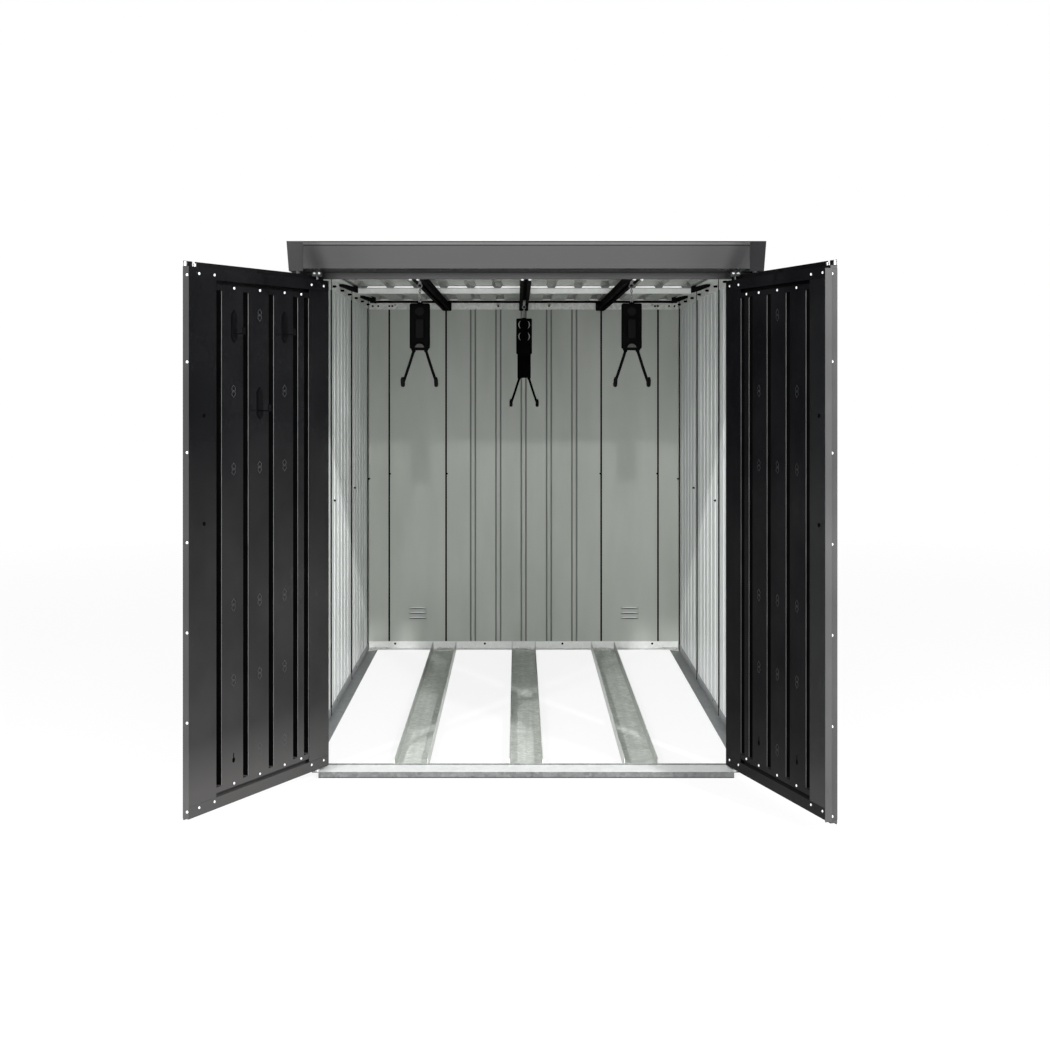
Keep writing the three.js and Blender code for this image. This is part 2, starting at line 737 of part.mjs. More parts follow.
function slider(x, y, housingTop, drawn) {
  const foot = housingTop - housingHeight - drawn;
  const wide = housingWidth - 2 * housingWall - 2 * sliderGap;
  const deep = housingDepth - 2 * housingWall - 2 * sliderGap;
  const blade = block(around(x, wide), around(y, deep), [foot, foot + sliderLength]);
  const cross = block(around(x, crossWidth), around(y, deep), [foot - crossHeight, foot + bite]);
  const tipZ = foot - armDrop;
  const arms = [-1, 1].flatMap((side) => {
    const knee = [x + side * armSpread, y, tipZ + tipRadius];
    const bend = [x + side * armSpread, y - hookForward / 2, tipZ];
    const nose = [x + side * armSpread, y - hookForward, tipZ + hookUp];
    const root = [x + side * armRoot, y, foot - crossHeight / 2];
    const middle = [x + side * (armRoot + armSpread) / 2, y, (foot + tipZ) / 2];
    const arm = rod([root, middle, knee, bend, nose], armRadius, armSteps);
    return [arm, rod([knee, bend, nose], tipRadius, tipSteps)];
  });
  return joined(blade, cross, ...arms);
}
function holder(name, x, y, drop, drawn) {
  const housingTop = trackFoot - drop;
  add(`${name}_track`, track(x), blackPaint);
  add(`${name}_runner`, runner(x, y), zinc);
  add(`${name}_holder`, housing(x, y, housingTop), blackPlastic);
  add(`${name}_slider`, slider(x, y, housingTop, drawn), blackPlastic);
}
holder('left', -trackSpacing, hingeY + frontHolderPlace, frontHolderDrop, 0);
holder('centre', 0, rearY - rearHolderPlace, rearHolderDrop, sliderDraw);
holder('right', trackSpacing, hingeY + frontHolderPlace, frontHolderDrop, 0);

export default locker;
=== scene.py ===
# %% [markdown]
# # A sheet-metal bicycle locker
#
# The solids of the locker come from its CAD model and are never moved here. This lesson dresses them: it gives
# every sheet, rail and moulding a finish made of shader nodes, softens the folded edges, and adds the small things
# that a CAD model leaves out, such as rivets, screws, brackets and the moulded shapes of the bike holders.

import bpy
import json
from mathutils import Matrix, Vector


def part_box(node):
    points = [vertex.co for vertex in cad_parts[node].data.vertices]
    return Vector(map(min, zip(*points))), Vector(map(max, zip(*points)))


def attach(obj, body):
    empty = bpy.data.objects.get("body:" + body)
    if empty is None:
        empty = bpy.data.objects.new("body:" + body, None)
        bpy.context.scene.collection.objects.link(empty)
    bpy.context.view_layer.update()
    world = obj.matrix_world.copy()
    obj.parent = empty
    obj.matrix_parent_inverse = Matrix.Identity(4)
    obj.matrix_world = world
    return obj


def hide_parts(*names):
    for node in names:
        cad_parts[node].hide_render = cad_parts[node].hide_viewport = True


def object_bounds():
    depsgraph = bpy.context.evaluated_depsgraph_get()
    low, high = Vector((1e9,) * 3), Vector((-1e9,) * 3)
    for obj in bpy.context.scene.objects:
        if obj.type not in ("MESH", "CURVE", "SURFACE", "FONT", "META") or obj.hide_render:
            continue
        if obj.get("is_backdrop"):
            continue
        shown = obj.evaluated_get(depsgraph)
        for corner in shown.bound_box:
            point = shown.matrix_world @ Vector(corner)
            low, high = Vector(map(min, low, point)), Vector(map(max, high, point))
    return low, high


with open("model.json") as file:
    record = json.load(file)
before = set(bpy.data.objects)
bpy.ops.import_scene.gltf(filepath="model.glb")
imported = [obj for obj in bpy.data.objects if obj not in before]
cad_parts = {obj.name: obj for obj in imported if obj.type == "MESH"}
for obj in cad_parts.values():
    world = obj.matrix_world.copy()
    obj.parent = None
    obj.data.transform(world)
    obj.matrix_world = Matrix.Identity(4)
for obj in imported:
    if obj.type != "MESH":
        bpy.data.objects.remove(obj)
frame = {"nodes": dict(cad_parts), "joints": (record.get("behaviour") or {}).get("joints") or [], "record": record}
cad_box = [list(corner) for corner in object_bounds()]

import json
from math import cos, pi, radians, sin

import bmesh
import bpy
from mathutils import Matrix, Vector

nodes = frame["nodes"]
joints = {joint["name"]: joint for joint in frame["joints"]}

# %% [markdown]
# The photograph is a straight front view with a long lens. A level camera whose picture is shifted down keeps the
# upright edges upright, which tilting the camera would not. One pixel at the doors' hinge line is 2.6 mm wide.

# %% Camera
SENSOR = 36
PICTURE = 1050
FOCAL_PIXELS = 1600
SHIFT_RIGHT, SHIFT_DOWN = 6.8, 140
CAMERA_PLACE = (-0.021, -5.175, 1.019)
camera_data = bpy.data.cameras.new("camera")
camera_data.sensor_width = SENSOR
camera_data.lens = SENSOR * FOCAL_PIXELS / PICTURE
camera_data.shift_x = SHIFT_RIGHT / PICTURE
camera_data.shift_y = -SHIFT_DOWN / PICTURE
camera = bpy.data.objects.new("camera", camera_data)
camera.location = CAMERA_PLACE
camera.rotation_euler = (radians(90), 0, 0)
scene = bpy.context.scene
scene.collection.objects.link(camera)
scene.camera = camera
scene.view_settings.view_transform = "Standard"
print("lens:", round(camera_data.lens, 2), "mm")

# %% [markdown]
# Shader maths reads best as plain sums. A wire wraps an output socket and turns each operator into one Math node,
# so that `1 - speckle * 0.4` can be written as it is thought.


# %% Wires that can be added and multiplied
def operator(operation, swapped=False):
    def method(self, other=0.0):
        first, second = (other, self) if swapped else (self, other)
        return self.finish.wire("Math", {"operation": operation}, {0: first, 1: second})

    return method


class Wire:
    def __init__(self, finish, socket):
        self.finish = finish
        self.socket = socket

    __add__, __radd__ = operator("ADD"), operator("ADD", True)
    __sub__, __rsub__ = operator("SUBTRACT"), operator("SUBTRACT", True)
    __mul__, __rmul__ = operator("MULTIPLY"), operator("MULTIPLY", True)
    __abs__ = operator("ABSOLUTE")
    over = operator("GREATER_THAN")
    most = operator("MAXIMUM")


# %% [markdown]
# A finish is one material. Its `node` method makes any shader node from its type, without the `ShaderNode` that all
# types start with. Settings go in first, because they can change which sockets a node has, and then each socket gets
# a value or a wire. `looks` tells how far a surface faces one way, from -1 to 1.


# %% Finishes
class Finish:
    def __init__(self, name, slot):
        self.material = bpy.data.materials.new(name)
        self.material.use_nodes = True
        self.tree = self.material.node_tree
        self.tree.nodes.clear()
        self.slot = slot

    def node(self, kind, settings, sockets):
        made = self.tree.nodes.new("ShaderNode" + kind)
        for name, value in settings.items():
            if name == "stops":
                for stop, (place, shade) in zip(made.color_ramp.elements, value):
                    stop.position = place
                    stop.color = (shade, shade, shade, 1)
            else:
                setattr(made, name, value)
        for name, value in sockets.items():
            if isinstance(value, Wire):
                self.tree.links.new(value.socket, made.inputs[name])
            else:
                made.inputs[name].default_value = value
        return made

    def wire(self, kind, settings, sockets, output=0):
        return Wire(self, self.node(kind, settings, sockets).outputs[output])

    def place(self, stretch=(1, 1, 1)):
        spot = self.wire("TexCoord", {}, {}, "Object")
        return self.wire("VectorMath", {"operation": "MULTIPLY"}, {0: spot, 1: stretch})

    def cloud(self, scale, detail=3, stretch=(1, 1, 1)):
        sockets = {"Vector": self.place(stretch), "Scale": scale, "Detail": detail}
        return self.wire("TexNoise", {}, sockets)

    def cells(self, scale, stretch=(1, 1, 1)):
        sockets = {"Vector": self.place(stretch), "Scale": scale}
        return self.wire("TexVoronoi", {}, sockets, "Color") * 1.0

    def looks(self, towards):
        normal = self.wire("TexCoord", {}, {}, "Normal")
        return self.wire("VectorMath", {"operation": "DOT_PRODUCT"}, {0: normal, 1: towards}, "Value")

    def band(self, value, low, high):
        stops = [(low, 0), (high, 1)]
        return self.wire("ValToRGB", {"stops": stops}, {"Fac": value})

    def blend(self, factor, first, second):
        sockets = {"Factor": factor, 6: first, 7: second}
        return self.wire("Mix", {"data_type": "RGBA"}, sockets, 2)

    def bump(self, height, distance, strength=1.0):
        sockets = {"Height": height, "Distance": distance, "Strength": strength}
        return self.wire("Bump", {}, sockets)

    def pour(self, sockets):
        shader = self.wire("BsdfPrincipled", {}, sockets)
        self.node("OutputMaterial", {}, {"Surface": shader})
        return self


def colour(red, green, blue):
    return (red, green, blue, 1)


# %% [markdown]
# Hot-dip galvanised steel freezes in crystals, the spangle, about a centimetre across. Cells with one random grey
# each give the spangle, and a cloud gives the dull and bright patches that handling and weather leave. The sill's
# upward faces get a lighter copy of the zinc and its other faces a dark one, painted light from above; the flanks of
# ribs and channels get a painted shade, and the channels are worn along their length by wheels.


# %% Galvanised steel
UP, RIGHT, FRONT = (0, 0, 1), (1, 0, 0), (0, -1, 0)
SPANGLE, FINE_SPANGLE = 95, 210
LEVEL = 0.7
# Rib and channel flanks are darkened towards this colour: painted shade.
FLANK_SHADE = (0.03, 0.032, 0.03)


def galvanised(name, dark, light, metal=0.2, lit_top=None, flank_shading=0.0, worn=0.0):
    zinc = Finish(name, "galvanised")
    spangle = zinc.cells(SPANGLE) * 0.5 + zinc.cells(FINE_SPANGLE) * 0.2
    patches = zinc.cloud(14, 4) * 0.5
    shade = zinc.band(spangle + patches, 0.25, 0.95)
    steel = zinc.blend(shade, colour(*dark), colour(*light))
    if lit_top:
        lit_top_steel = zinc.blend(shade, colour(*lit_top[0]), colour(*lit_top[1]))
        steel = zinc.blend(zinc.looks(UP).over(LEVEL), steel, lit_top_steel)
    if flank_shading:
        flank_shade = zinc.band(abs(zinc.looks(RIGHT)), 0.15, 0.6) * flank_shading
        steel = zinc.blend(flank_shade, steel, colour(*FLANK_SHADE))
    if worn:
        tracks = zinc.band(zinc.cloud(60, 3, (1, 0.02, 1)), 0.3, 0.7) * worn
        steel = zinc.blend(tracks, steel, colour(*dark))
    streaks = zinc.cloud(220, 2, (1, 0.12, 1))
    rough = 0.3 + zinc.cells(SPANGLE) * 0.16 + streaks * 0.1
    return zinc.pour({
        "Base Color": steel,
        "Metallic": metal + patches * 0.2,
        "Roughness": rough,
        "Normal": zinc.bump(spangle + streaks * 0.4, 0.0002, 0.5),
    })


galvanised_steel = galvanised("galvanised steel", (0.54, 0.555, 0.535), (0.88, 0.89, 0.86))
channel_steel = galvanised("wheel channel", (0.42, 0.445, 0.41), (0.88, 0.905, 0.865), flank_shading=0.35, worn=0.45)
# A lighter copy of the zinc for the purlin and the rear base rail: painted light.
lit_zinc_copy = galvanised("bright galvanised steel", (0.84, 0.85, 0.84), (0.96, 0.965, 0.955), 0.0)
# The sill's upward faces get these lighter shades: a painted highlight of the light from above.
SILL_TOP_LIGHT = ((0.58, 0.59, 0.59), (0.7, 0.71, 0.71))
sill_steel = galvanised("galvanised sill", (0.06, 0.063, 0.063), (0.15, 0.157, 0.155), 0.1, SILL_TOP_LIGHT)
base_steel = galvanised("galvanised base rail", (0.16, 0.168, 0.172), (0.33, 0.342, 0.348), 0.3)
roof_steel = galvanised("galvanised roof sheet", (0.32, 0.327, 0.31), (0.74, 0.75, 0.71), 0.3, flank_shading=0.12)

# %% [markdown]
# The outer coat is a half-gloss anthracite coil coat. It is smooth, with a slight orange peel that only shows in
# reflections, and a thin veil of dust that dulls the gloss in patches. The doors' coat grows paler towards their
# feet, and their free edges carry a painted highlight where they face the front. The right door is the darker one
# in the photograph, so its coat mirrors less.

# %% Anthracite coil coat
ANTHRACITE = colour(0.0025, 0.0025, 0.003)
DUSTED = colour(0.0055, 0.0055, 0.006)
# The doors' coat grows paler towards the foot, up to this colour.
PALE_FOOT = colour(0.045, 0.044, 0.0435)
# The doors' free edges are lightened to this colour where they face the front: a painted highlight.
FRONT_SHEEN = colour(0.1, 0.099, 0.1)
PALE_REACH, FOOT_REACH = (0.02, 0.95), (0, 0.28)
FRONT_FACING = (0.86, 0.94)


def coil_coat(coat):
    veil = coat.band(coat.cloud(5, 5), 0.35, 0.75)
    grain = coat.cloud(900, 2)
    return veil, grain


def outer_coat(name, rough, shine, foot_paling=0.0, front_sheen=0.0):
    coat = Finish(name, "anthracite")
    veil, grain = coil_coat(coat)
    height = coat.wire("SeparateXYZ", {}, {0: coat.place()}, "Z")
    paling = (1 - coat.band(height, *PALE_REACH)) * (0.7 + veil * 0.3) * foot_paling
    paling = paling.most((1 - coat.band(height, *FOOT_REACH)) * 2.2 * foot_paling)
    dusty = coat.blend(paling, coat.blend(veil, ANTHRACITE, DUSTED), PALE_FOOT)
    edge = coat.band(coat.looks(FRONT), *FRONT_FACING) * (0.7 + veil * 0.3) * front_sheen
    return coat.pour({
        "Base Color": coat.blend(edge, dusty, FRONT_SHEEN),
        "Roughness": rough + veil * 0.06 + grain * 0.04,
        "Specular IOR Level": shine,
        "Normal": coat.bump(grain + coat.cloud(260, 1) * 2, 0.00005, 0.5),
    })


def both_sides(part, left, right):
    return {hand: outer_coat(f"{hand} {part}", *numbers) for hand, numbers in (("left", left), ("right", right))}


anthracite = outer_coat("anthracite coil coat", 0.2, 0.42)
hem_coat = outer_coat("hem coil coat", 0.2, 0.75)
door_coats = both_sides("door coil coat", (0.2, 0.05, 0.62), (0.2, 0.003, 0.12))
edge_coats = both_sides("door edge coat", (0.2, 0.05, 0.62, 0.6), (0.2, 0.05, 0.2, 0.52))
trim_coats = both_sides("trim coil coat", (0.3, 0.28), (0.3, 0.12))
print("outer coats:", 2 + len(door_coats) + len(edge_coats) + len(trim_coats))

# %% [markdown]
# The wall sheets are coated twice: anthracite outside and a plain light grey-green back coat inside. One sheet is
# one solid, so the finish asks which way a surface looks. The dot product of its normal with the outward direction
# is positive outside and negative inside; cut edges lie near zero and count as outside. The rear wall's rib flanks
# get a painted shade, so its ribs read as soft dark lines. The side walls and front posts get a lighter copy of the
# back coat than the rear wall and rear posts: painted light.

# %% Wall sheets with two coats
BACK_COAT = colour(0.43, 0.455, 0.415)
BACK_COAT_LIGHT = colour(0.5, 0.525, 0.485)
SIDE_COAT = colour(0.56, 0.585, 0.575)
SIDE_COAT_LIGHT = colour(0.63, 0.65, 0.645)
# The rear wall's rib flanks are darkened towards this colour: painted shade.
RIB_SHADE = colour(0.1, 0.106, 0.098)
OUTSIDE_FROM = -0.08


def wall_coat(name, outward, plain, light, rib_shading=0.0):
    wall = Finish(name, "wall_coat")
    outside = wall.looks(outward).over(OUTSIDE_FROM)
    veil, grain = coil_coat(wall)
    streaks = wall.band(wall.cloud(9, 4, (1, 1, 0.25)), 0.3, 0.7)
    inner = wall.blend(streaks, plain, light)
    outer = wall.blend(veil, ANTHRACITE, DUSTED)
    rib_shade = wall.band(abs(wall.looks(RIGHT)), 0.12, 0.75) * rib_shading
    inner = wall.blend(rib_shade, inner, RIB_SHADE)
    return wall.pour({
        "Base Color": wall.blend(outside, inner, outer),
        "Roughness": 0.36 - outside * 0.06 + grain * 0.08 + streaks * 0.06,
        "Normal": wall.bump(grain, 0.00006, 0.6),
    })


SIDE = {"left": -1, "right": 1}
# The side walls and front posts get a lighter copy of the back coat than the rear wall and rear posts: painted light.
PAINTED_LIT_COAT, PAINTED_SHADED_COAT = (SIDE_COAT, SIDE_COAT_LIGHT), (BACK_COAT, BACK_COAT_LIGHT)
side_walls = {hand: wall_coat(f"{hand} wall coat", (x, 0, 0), *PAINTED_LIT_COAT) for hand, x in SIDE.items()}
front_posts = {hand: wall_coat(f"{hand} front post coat", (x, -1, 0), *PAINTED_LIT_COAT) for hand, x in SIDE.items()}
rear_posts = {hand: wall_coat(f"{hand} rear post coat", (x, 1, 0), *PAINTED_SHADED_COAT) for hand, x in SIDE.items()}
rear_wall = wall_coat("rear wall coat", (0, 1, 0), *PAINTED_SHADED_COAT, rib_shading=0.62)
print("wall coats:", 1 + 3 * len(SIDE))

# %% [markdown]
# The small parts share one recipe: two near shades in soft patches under a fine grain. Powder coat, moulded plastic,
# soft rubber, zinc plate, painted heads and white foam differ only in its numbers. What reads as a hole gets no
# mirror shine at all, because black seen at a flat angle would mirror the white room.


# %% Small-part finishes
def fine(name, slot, dark, light, rough, scale=700, depth=0.00004, metallic=0.0, shine=0.5, glow=0.0):
    coat = Finish(name, slot)
    grain = coat.cloud(scale, 3)
    patches = coat.band(coat.cloud(18, 4), 0.3, 0.75)
    return coat.pour({
        "Base Color": coat.blend(patches, colour(*dark), colour(*light)),
        "Roughness": rough - 0.05 + grain * 0.1 + patches * 0.06,
        "Metallic": metallic,
        "Specular IOR Level": shine,
        "Emission Color": colour(1, 1, 1),
        "Emission Strength": glow,
        "Normal": coat.bump(grain, depth, 0.6),
    })


def grey(shade):
    return (shade, shade, shade)


PAINT, PLASTIC = "black_paint", "black_plastic"
black_paint = fine(
    "black powder coat", PAINT, (0.005, 0.005, 0.0055), (0.009, 0.009, 0.0095), 0.34, 1400, 0.0001, shine=0.3
)
hook_paint = fine(
    "hook powder coat", PAINT, (0.0016, 0.0016, 0.0018), (0.003, 0.003, 0.0034), 0.22, 1400, 0.00008, shine=0.03
)
rail_paint = fine("rail powder coat", PAINT, grey(0.006), (0.016, 0.0155, 0.015), 0.6, 1400, 0.00008, shine=0)
dark_head = fine("dark screw head", PAINT, (0.012, 0.012, 0.013), (0.022, 0.022, 0.023), 0.36, 900, 0.00005)
black_plastic = fine("black moulded plastic", PLASTIC, grey(0.001), grey(0.0022), 0.5, 1800, 0.00012, shine=0.006)
scuffed_plastic = fine("scuffed plastic", PLASTIC, grey(0.002), grey(0.004), 0.42, 1500, 0.0001, shine=0.02)
pale_plastic = fine(
    "pale plastic edge", PLASTIC, (0.022, 0.022, 0.0215), (0.04, 0.04, 0.039), 0.4, 1200, 0.00008, shine=0.1
)
rim_highlight_plastic = fine("painted rim highlight", PLASTIC, (0.3, 0.3, 0.29), (0.5, 0.5, 0.49), 0.35, 1200, 0.00005)
rubber = fine("soft rubber", PLASTIC, grey(0.0015), (0.0035, 0.0035, 0.0034), 0.6, 900, 0.00015, shine=0.03)
# This black serves real holes and also the painted shadows: groove liners, the rail's shadow and the sill's lines.
black_holes_and_shadows = fine("deep hole and painted shadow", PLASTIC, grey(0.001), grey(0.002), 0.7, shine=0)
zinc_plate = fine("bright zinc plate", "zinc", (0.66, 0.67, 0.69), (0.8, 0.81, 0.82), 0.26, 500, 0.00005, 0.95)
white_head = fine("white rivet head", "zinc", (0.62, 0.63, 0.64), (0.78, 0.78, 0.79), 0.34, 600, 0.00004, 0.25)
# The foam closers get a faint glow: painted light, though they are no lamp.
glowing_foam = fine("white foam", "zinc", (0.86, 0.86, 0.85), (0.93, 0.93, 0.92), 0.6, 900, 0.0002, glow=0.35)
dark_zinc = fine("dulled zinc", "zinc", grey(0.2), grey(0.34), 0.34, 500, 0.00005, 0.9)
# The right door's slot lines are a darker copy of the left's: painted shade.
slot_lines = {
    "left": fine("left slot edge", "anthracite", (0.03, 0.03, 0.031), (0.06, 0.06, 0.062), 0.4),
    "right": fine("right slot edge", "anthracite", grey(0.012), (0.026, 0.026, 0.027), 0.4),
}
# A pale wire along each groove's fold is a painted highlight.
fold_highlight = fine("painted fold highlight", "anthracite", (0.07, 0.07, 0.072), (0.13, 0.13, 0.132), 0.35)
print("finishes:", len(bpy.data.materials))

# %% [markdown]
# Each solid keeps its shape and gets its finish. Folded sheet is never knife-sharp, so a narrow bevel rounds every
# fold and cut edge and catches the light there. A solid arrives as triangles with split corners, so a weld joins
# them before the bevel.

# %% Dress the solids
WELD = 0.00002
FOLD_RADIUS, FOLD_STEPS = 0.0004, 2
FOLD_ANGLE = radians(40)
ROUND_ANGLE = radians(60)


def dress(name, finish):
    solid = nodes[name]
    mesh = solid.data
    mesh.materials.clear()
    mesh.materials.append(finish.material)
    for shading in ("custom_normal", "sharp_edge"):
        if shading in mesh.attributes:
            mesh.attributes.remove(mesh.attributes[shading])
    mesh.shade_smooth()
    weld = solid.modifiers.new("weld", "WELD")
    weld.merge_threshold = WELD
    rounding = solid.modifiers.new("rounding", "BEVEL")
    rounding.width = FOLD_RADIUS
    rounding.segments = FOLD_STEPS
    rounding.limit_method = "ANGLE"
    rounding.angle_limit = ROUND_ANGLE if name.endswith("_runner") else FOLD_ANGLE
    rounding.harden_normals = True


by_slot = {
    "galvanised": galvanised_steel,
    "anthracite": anthracite,
    "black_paint": black_paint,
    "zinc": zinc_plate,
    "black_plastic": black_plastic,
    "wall_coat": rear_wall,
}
PLACES = ("left", "centre", "right")
special = {
    "front_sill": sill_steel,
    "rear_base_rail": lit_zinc_copy,
    "purlin": lit_zinc_copy,
    "front_roof_sheet": roof_steel,
    "rear_roof_sheet": roof_steel,
    "closing_strip": edge_coats["right"],
}
special.update({f"tool_hook_{number}": hook_paint for number in (1, 2, 3)})
for part, finish in (("runner", dark_zinc), ("floor_channel", channel_steel), ("track", rail_paint)):
    special.update({f"{hand}_{part}": finish for hand in PLACES})
for hand in SIDE:
    special[f"{hand}_base_rail"] = base_steel
    special[f"{hand}_side_fascia"] = trim_coats[hand]
    special[f"{hand}_front_post"] = front_posts[hand]
    special[f"{hand}_rear_post"] = rear_posts[hand]
    special.update({f"{hand}_{place}_wall_sheet": side_walls[hand] for place in ("front", "middle", "rear")})
    for part in ("skin", "top_rail", "bottom_rail", "hinge_stile"):
        special[f"{hand}_door_{part}"] = door_coats[hand]
    special[f"{hand}_door_free_stile"] = edge_coats[hand]
for entry in frame["record"]["subparts"]:
    dress(entry["node"], special.get(entry["node"], by_slot[entry["material_slot"]]))
print("dressed:", len(nodes))

# %% [markdown]
# Every added piece is built from rings of points that are joined by faces: a rivet head is a stack of circles, a
# plate is a stack of outlines with a small chamfer, and a wire is a row of circles along a path. One helper joins
# rings, and the rest only say where the rings are.


# %% Shapes from rings
def joined_rings(body, rings):
    rows = [[body.verts.new(point) for point in ring] for ring in rings]
    count = len(rows[0])
    faces = [body.faces.new(rows[0][::-1]), body.faces.new(rows[-1])]
    for low, high in zip(rows, rows[1:]):
        for i in range(count):
            j = (i + 1) % count
            faces.append(body.faces.new((low[i], low[j], high[j], high[i])))
    bmesh.ops.recalc_face_normals(body, faces=faces)


def circle(radius, height, steps):
    turns = [2 * pi * i / steps for i in range(steps)]
    return [Vector((radius * cos(turn), radius * sin(turn), height)) for turn in turns]


def turned(body, profile, place, steps=14):
    joined_rings(body, [[place @ point for point in circle(r, h, steps)] for r, h in profile])


SHARPEST = 0.35


def inset(outline, depth):
    points = [Vector(point) for point in outline]
    moved = []
    for before, here, after in zip(points[-1:] + points, points, points[1:] + points[:1]):
        first, second = (here - before).normalized(), (after - here).normalized()
        middle = (first + second).normalized()
        inward = Vector((-middle.y, middle.x))
        moved.append(here + inward * depth / max(SHARPEST, middle.dot(first)))
    return moved


CHAMFER, SMALL_CHAMFER, HAIR = 0.0004, 0.0002, 0.0001


def plate(body, outline, low, high, place, chamfer=CHAMFER):
    small = inset(outline, chamfer)
    full = [Vector(point) for point in outline]
    stack = [(small, low), (full, low + chamfer), (full, high - chamfer), (small, high)]
    joined_rings(body, [[place @ Vector((*point, h)) for point in ring] for ring, h in stack])


def rounded(width, height, radius, centre=(0, 0), steps=5):
    x, y = centre
    corners = [(1, -1, -90), (1, 1, 0), (-1, 1, 90), (-1, -1, 180)]
    points = []
    for across, up, start in corners:
        cx, cy = x + across * (width / 2 - radius), y + up * (height / 2 - radius)
        for i in range(steps + 1):
            turn = radians(start + 90 * i / steps)
            points.append((cx + radius * cos(turn), cy + radius * sin(turn)))
    return points


def wire(body, path, radii, steps=10, closed=False):
    points = [Vector(point) for point in path]
    if not isinstance(radii, (list, tuple)):
        radii = [radii] * len(points)
    side = None
    rings = []
    for i, (point, radius) in enumerate(zip(points, radii)):
        before = points[i - 1] if i or closed else point
        after = points[(i + 1) % len(points)] if closed or i + 1 < len(points) else point
        along = (after - before).normalized()
        if side is None:
            side = along.orthogonal().normalized()
        side = (side - along * side.dot(along)).normalized()
        turn = Matrix((side, along.cross(side), along)).transposed()
        rings.append([point + turn @ spot for spot in circle(radius, 0, steps)])
    if closed:
        rows = [[body.verts.new(spot) for spot in ring] for ring in rings]
        for low, high in zip(rows, rows[1:] + rows[:1]):
            for i in range(steps):
                j = (i + 1) % steps
                body.faces.new((low[i], low[j], high[j], high[i]))
        bmesh.ops.recalc_face_normals(body, faces=body.faces)
    else:
        joined_rings(body, rings)


# %% [markdown]
# A piece becomes an object only once its mesh is whole. It rides on the CAD body that carries it, mostly the cabin.


# %% Pieces that ride on the locker
def piece(name, body, finish, rides_on="cabin"):
    mesh = bpy.data.meshes.new(name)
    body.to_mesh(mesh)
    body.free()
    mesh.materials.append(finish.material)
    mesh.shade_smooth()
    mesh.set_sharp_from_angle(angle=FOLD_ANGLE)
    made = bpy.data.objects.new(name, mesh)
    scene.collection.objects.link(made)
    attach(made, rides_on)
    return made


def facing(point, normal, up=(0, 0, 1)):
    out = Vector(normal).normalized()
    across = Vector(up).cross(out).normalized()
    turn = Matrix((across, out.cross(across), out)).transposed().to_4x4()
    return Matrix.Translation(point) @ turn


def facing_front(x, y, z):
    return facing((x, y, z), (0, -1, 0))


def facing_up(x, y, z):
    return facing((x, y, z), (0, 0, 1), (0, 1, 0))


DOME = [(1, 0), (1, 0.12), (0.93, 0.3), (0.74, 0.47), (0.44, 0.57), (0.3, 0.55), (0.22, 0.4)]
SCREW = [(1, 0), (1, 0.3), (0.9, 0.44), (0.55, 0.56), (0.3, 0.58), (0.26, 0.35)]
HEX = [(1, 0), (1, 0.55), (0.88, 0.7), (0.2, 0.72)]


def heads(name, spots, profile, radius, finish, rides_on="cabin", steps=14):
    body = bmesh.new()
    for spot in spots:
        turned(body, [(r * radius, h * radius) for r, h in profile], spot, steps)
    return piece(name, body, finish, rides_on)


# %% [markdown]
# The doors stand open, so their rivets are placed as on a closed door: `along` runs from the hinge pin to the free
# edge, `out` from the door's middle plane to its inner face, and the hinge joint says where that is now. Two dark
# sockets inside and two screws outside hold each bow handle.

# %% Places on the open doors
FACE, SKIN_FACE, BACK = 0.0085, 0.0067, -0.0118


def door_place(hand):
    joint = joints[f"{hand}_door_hinge"]
    opening = radians(max(abs(limit) for limit in joint["range_deg"]))
    side = SIDE[hand]
    along = Vector((-side * cos(opening), -sin(opening), 0))
    out = Vector((-side * sin(opening), cos(opening), 0))
    pin = Vector(joint["pos_m"])

    def spot(u, v, z, towards):
        normal = {"out": out, "in": -out, "free": along, "tail": -along}[towards]
        return facing(pin + along * u + out * v + Vector((0, 0, z)), normal)

    return spot


door_spots = {hand: door_place(hand) for hand in SIDE}
BORDER_COLUMNS, BORDER_ROWS = (0.504, 0.446, 0.038, -0.018), (0.0405, 1.277)
SKIN_COLUMNS, SKIN_ROWS = (0.367, 0.262, 0.157, 0.083), (0.066, 1.2505)
EDGE_ROWS = (0.0388, 0.243, 0.45, 0.657, 0.864, 1.072, 1.272)
FREE_EDGE = {"left": (0.5425, 0.0039), "right": (0.5458, 0.0066)}
TAIL_EDGE = (-0.0425, 0)
HANDLE_COLUMN, HANDLE_ROWS = 0.486, (0.696, 0.948)
RIVET, SOCKET, HANDLE_SCREW = 0.0032, 0.0046, 0.0052
for hand, spot in door_spots.items():
    rides_on = f"{hand}_door"
    rivets = [spot(u, FACE, z, "out") for u in BORDER_COLUMNS for z in BORDER_ROWS]
    rivets += [spot(u, SKIN_FACE, z, "out") for u in SKIN_COLUMNS for z in SKIN_ROWS]
    rivets += [spot(*FREE_EDGE[hand], z, "free") for z in EDGE_ROWS]
    rivets += [spot(*TAIL_EDGE, z, "tail") for z in EDGE_ROWS]
    heads(f"{hand}_door_rivets", rivets, DOME, RIVET, white_head, rides_on)
    sockets = [spot(HANDLE_COLUMN, FACE, z, "out") for z in HANDLE_ROWS]
    heads(f"{hand}_door_handle_sockets", sockets, SCREW, SOCKET, black_holes_and_shadows, rides_on, 12)
    screws = [spot(HANDLE_COLUMN, BACK, z, "in") for z in HANDLE_ROWS]
    heads(f"{hand}_door_handle_screws", screws, SCREW, HANDLE_SCREW, dark_head, rides_on, 6)
print("rivets a door:", len(rivets))
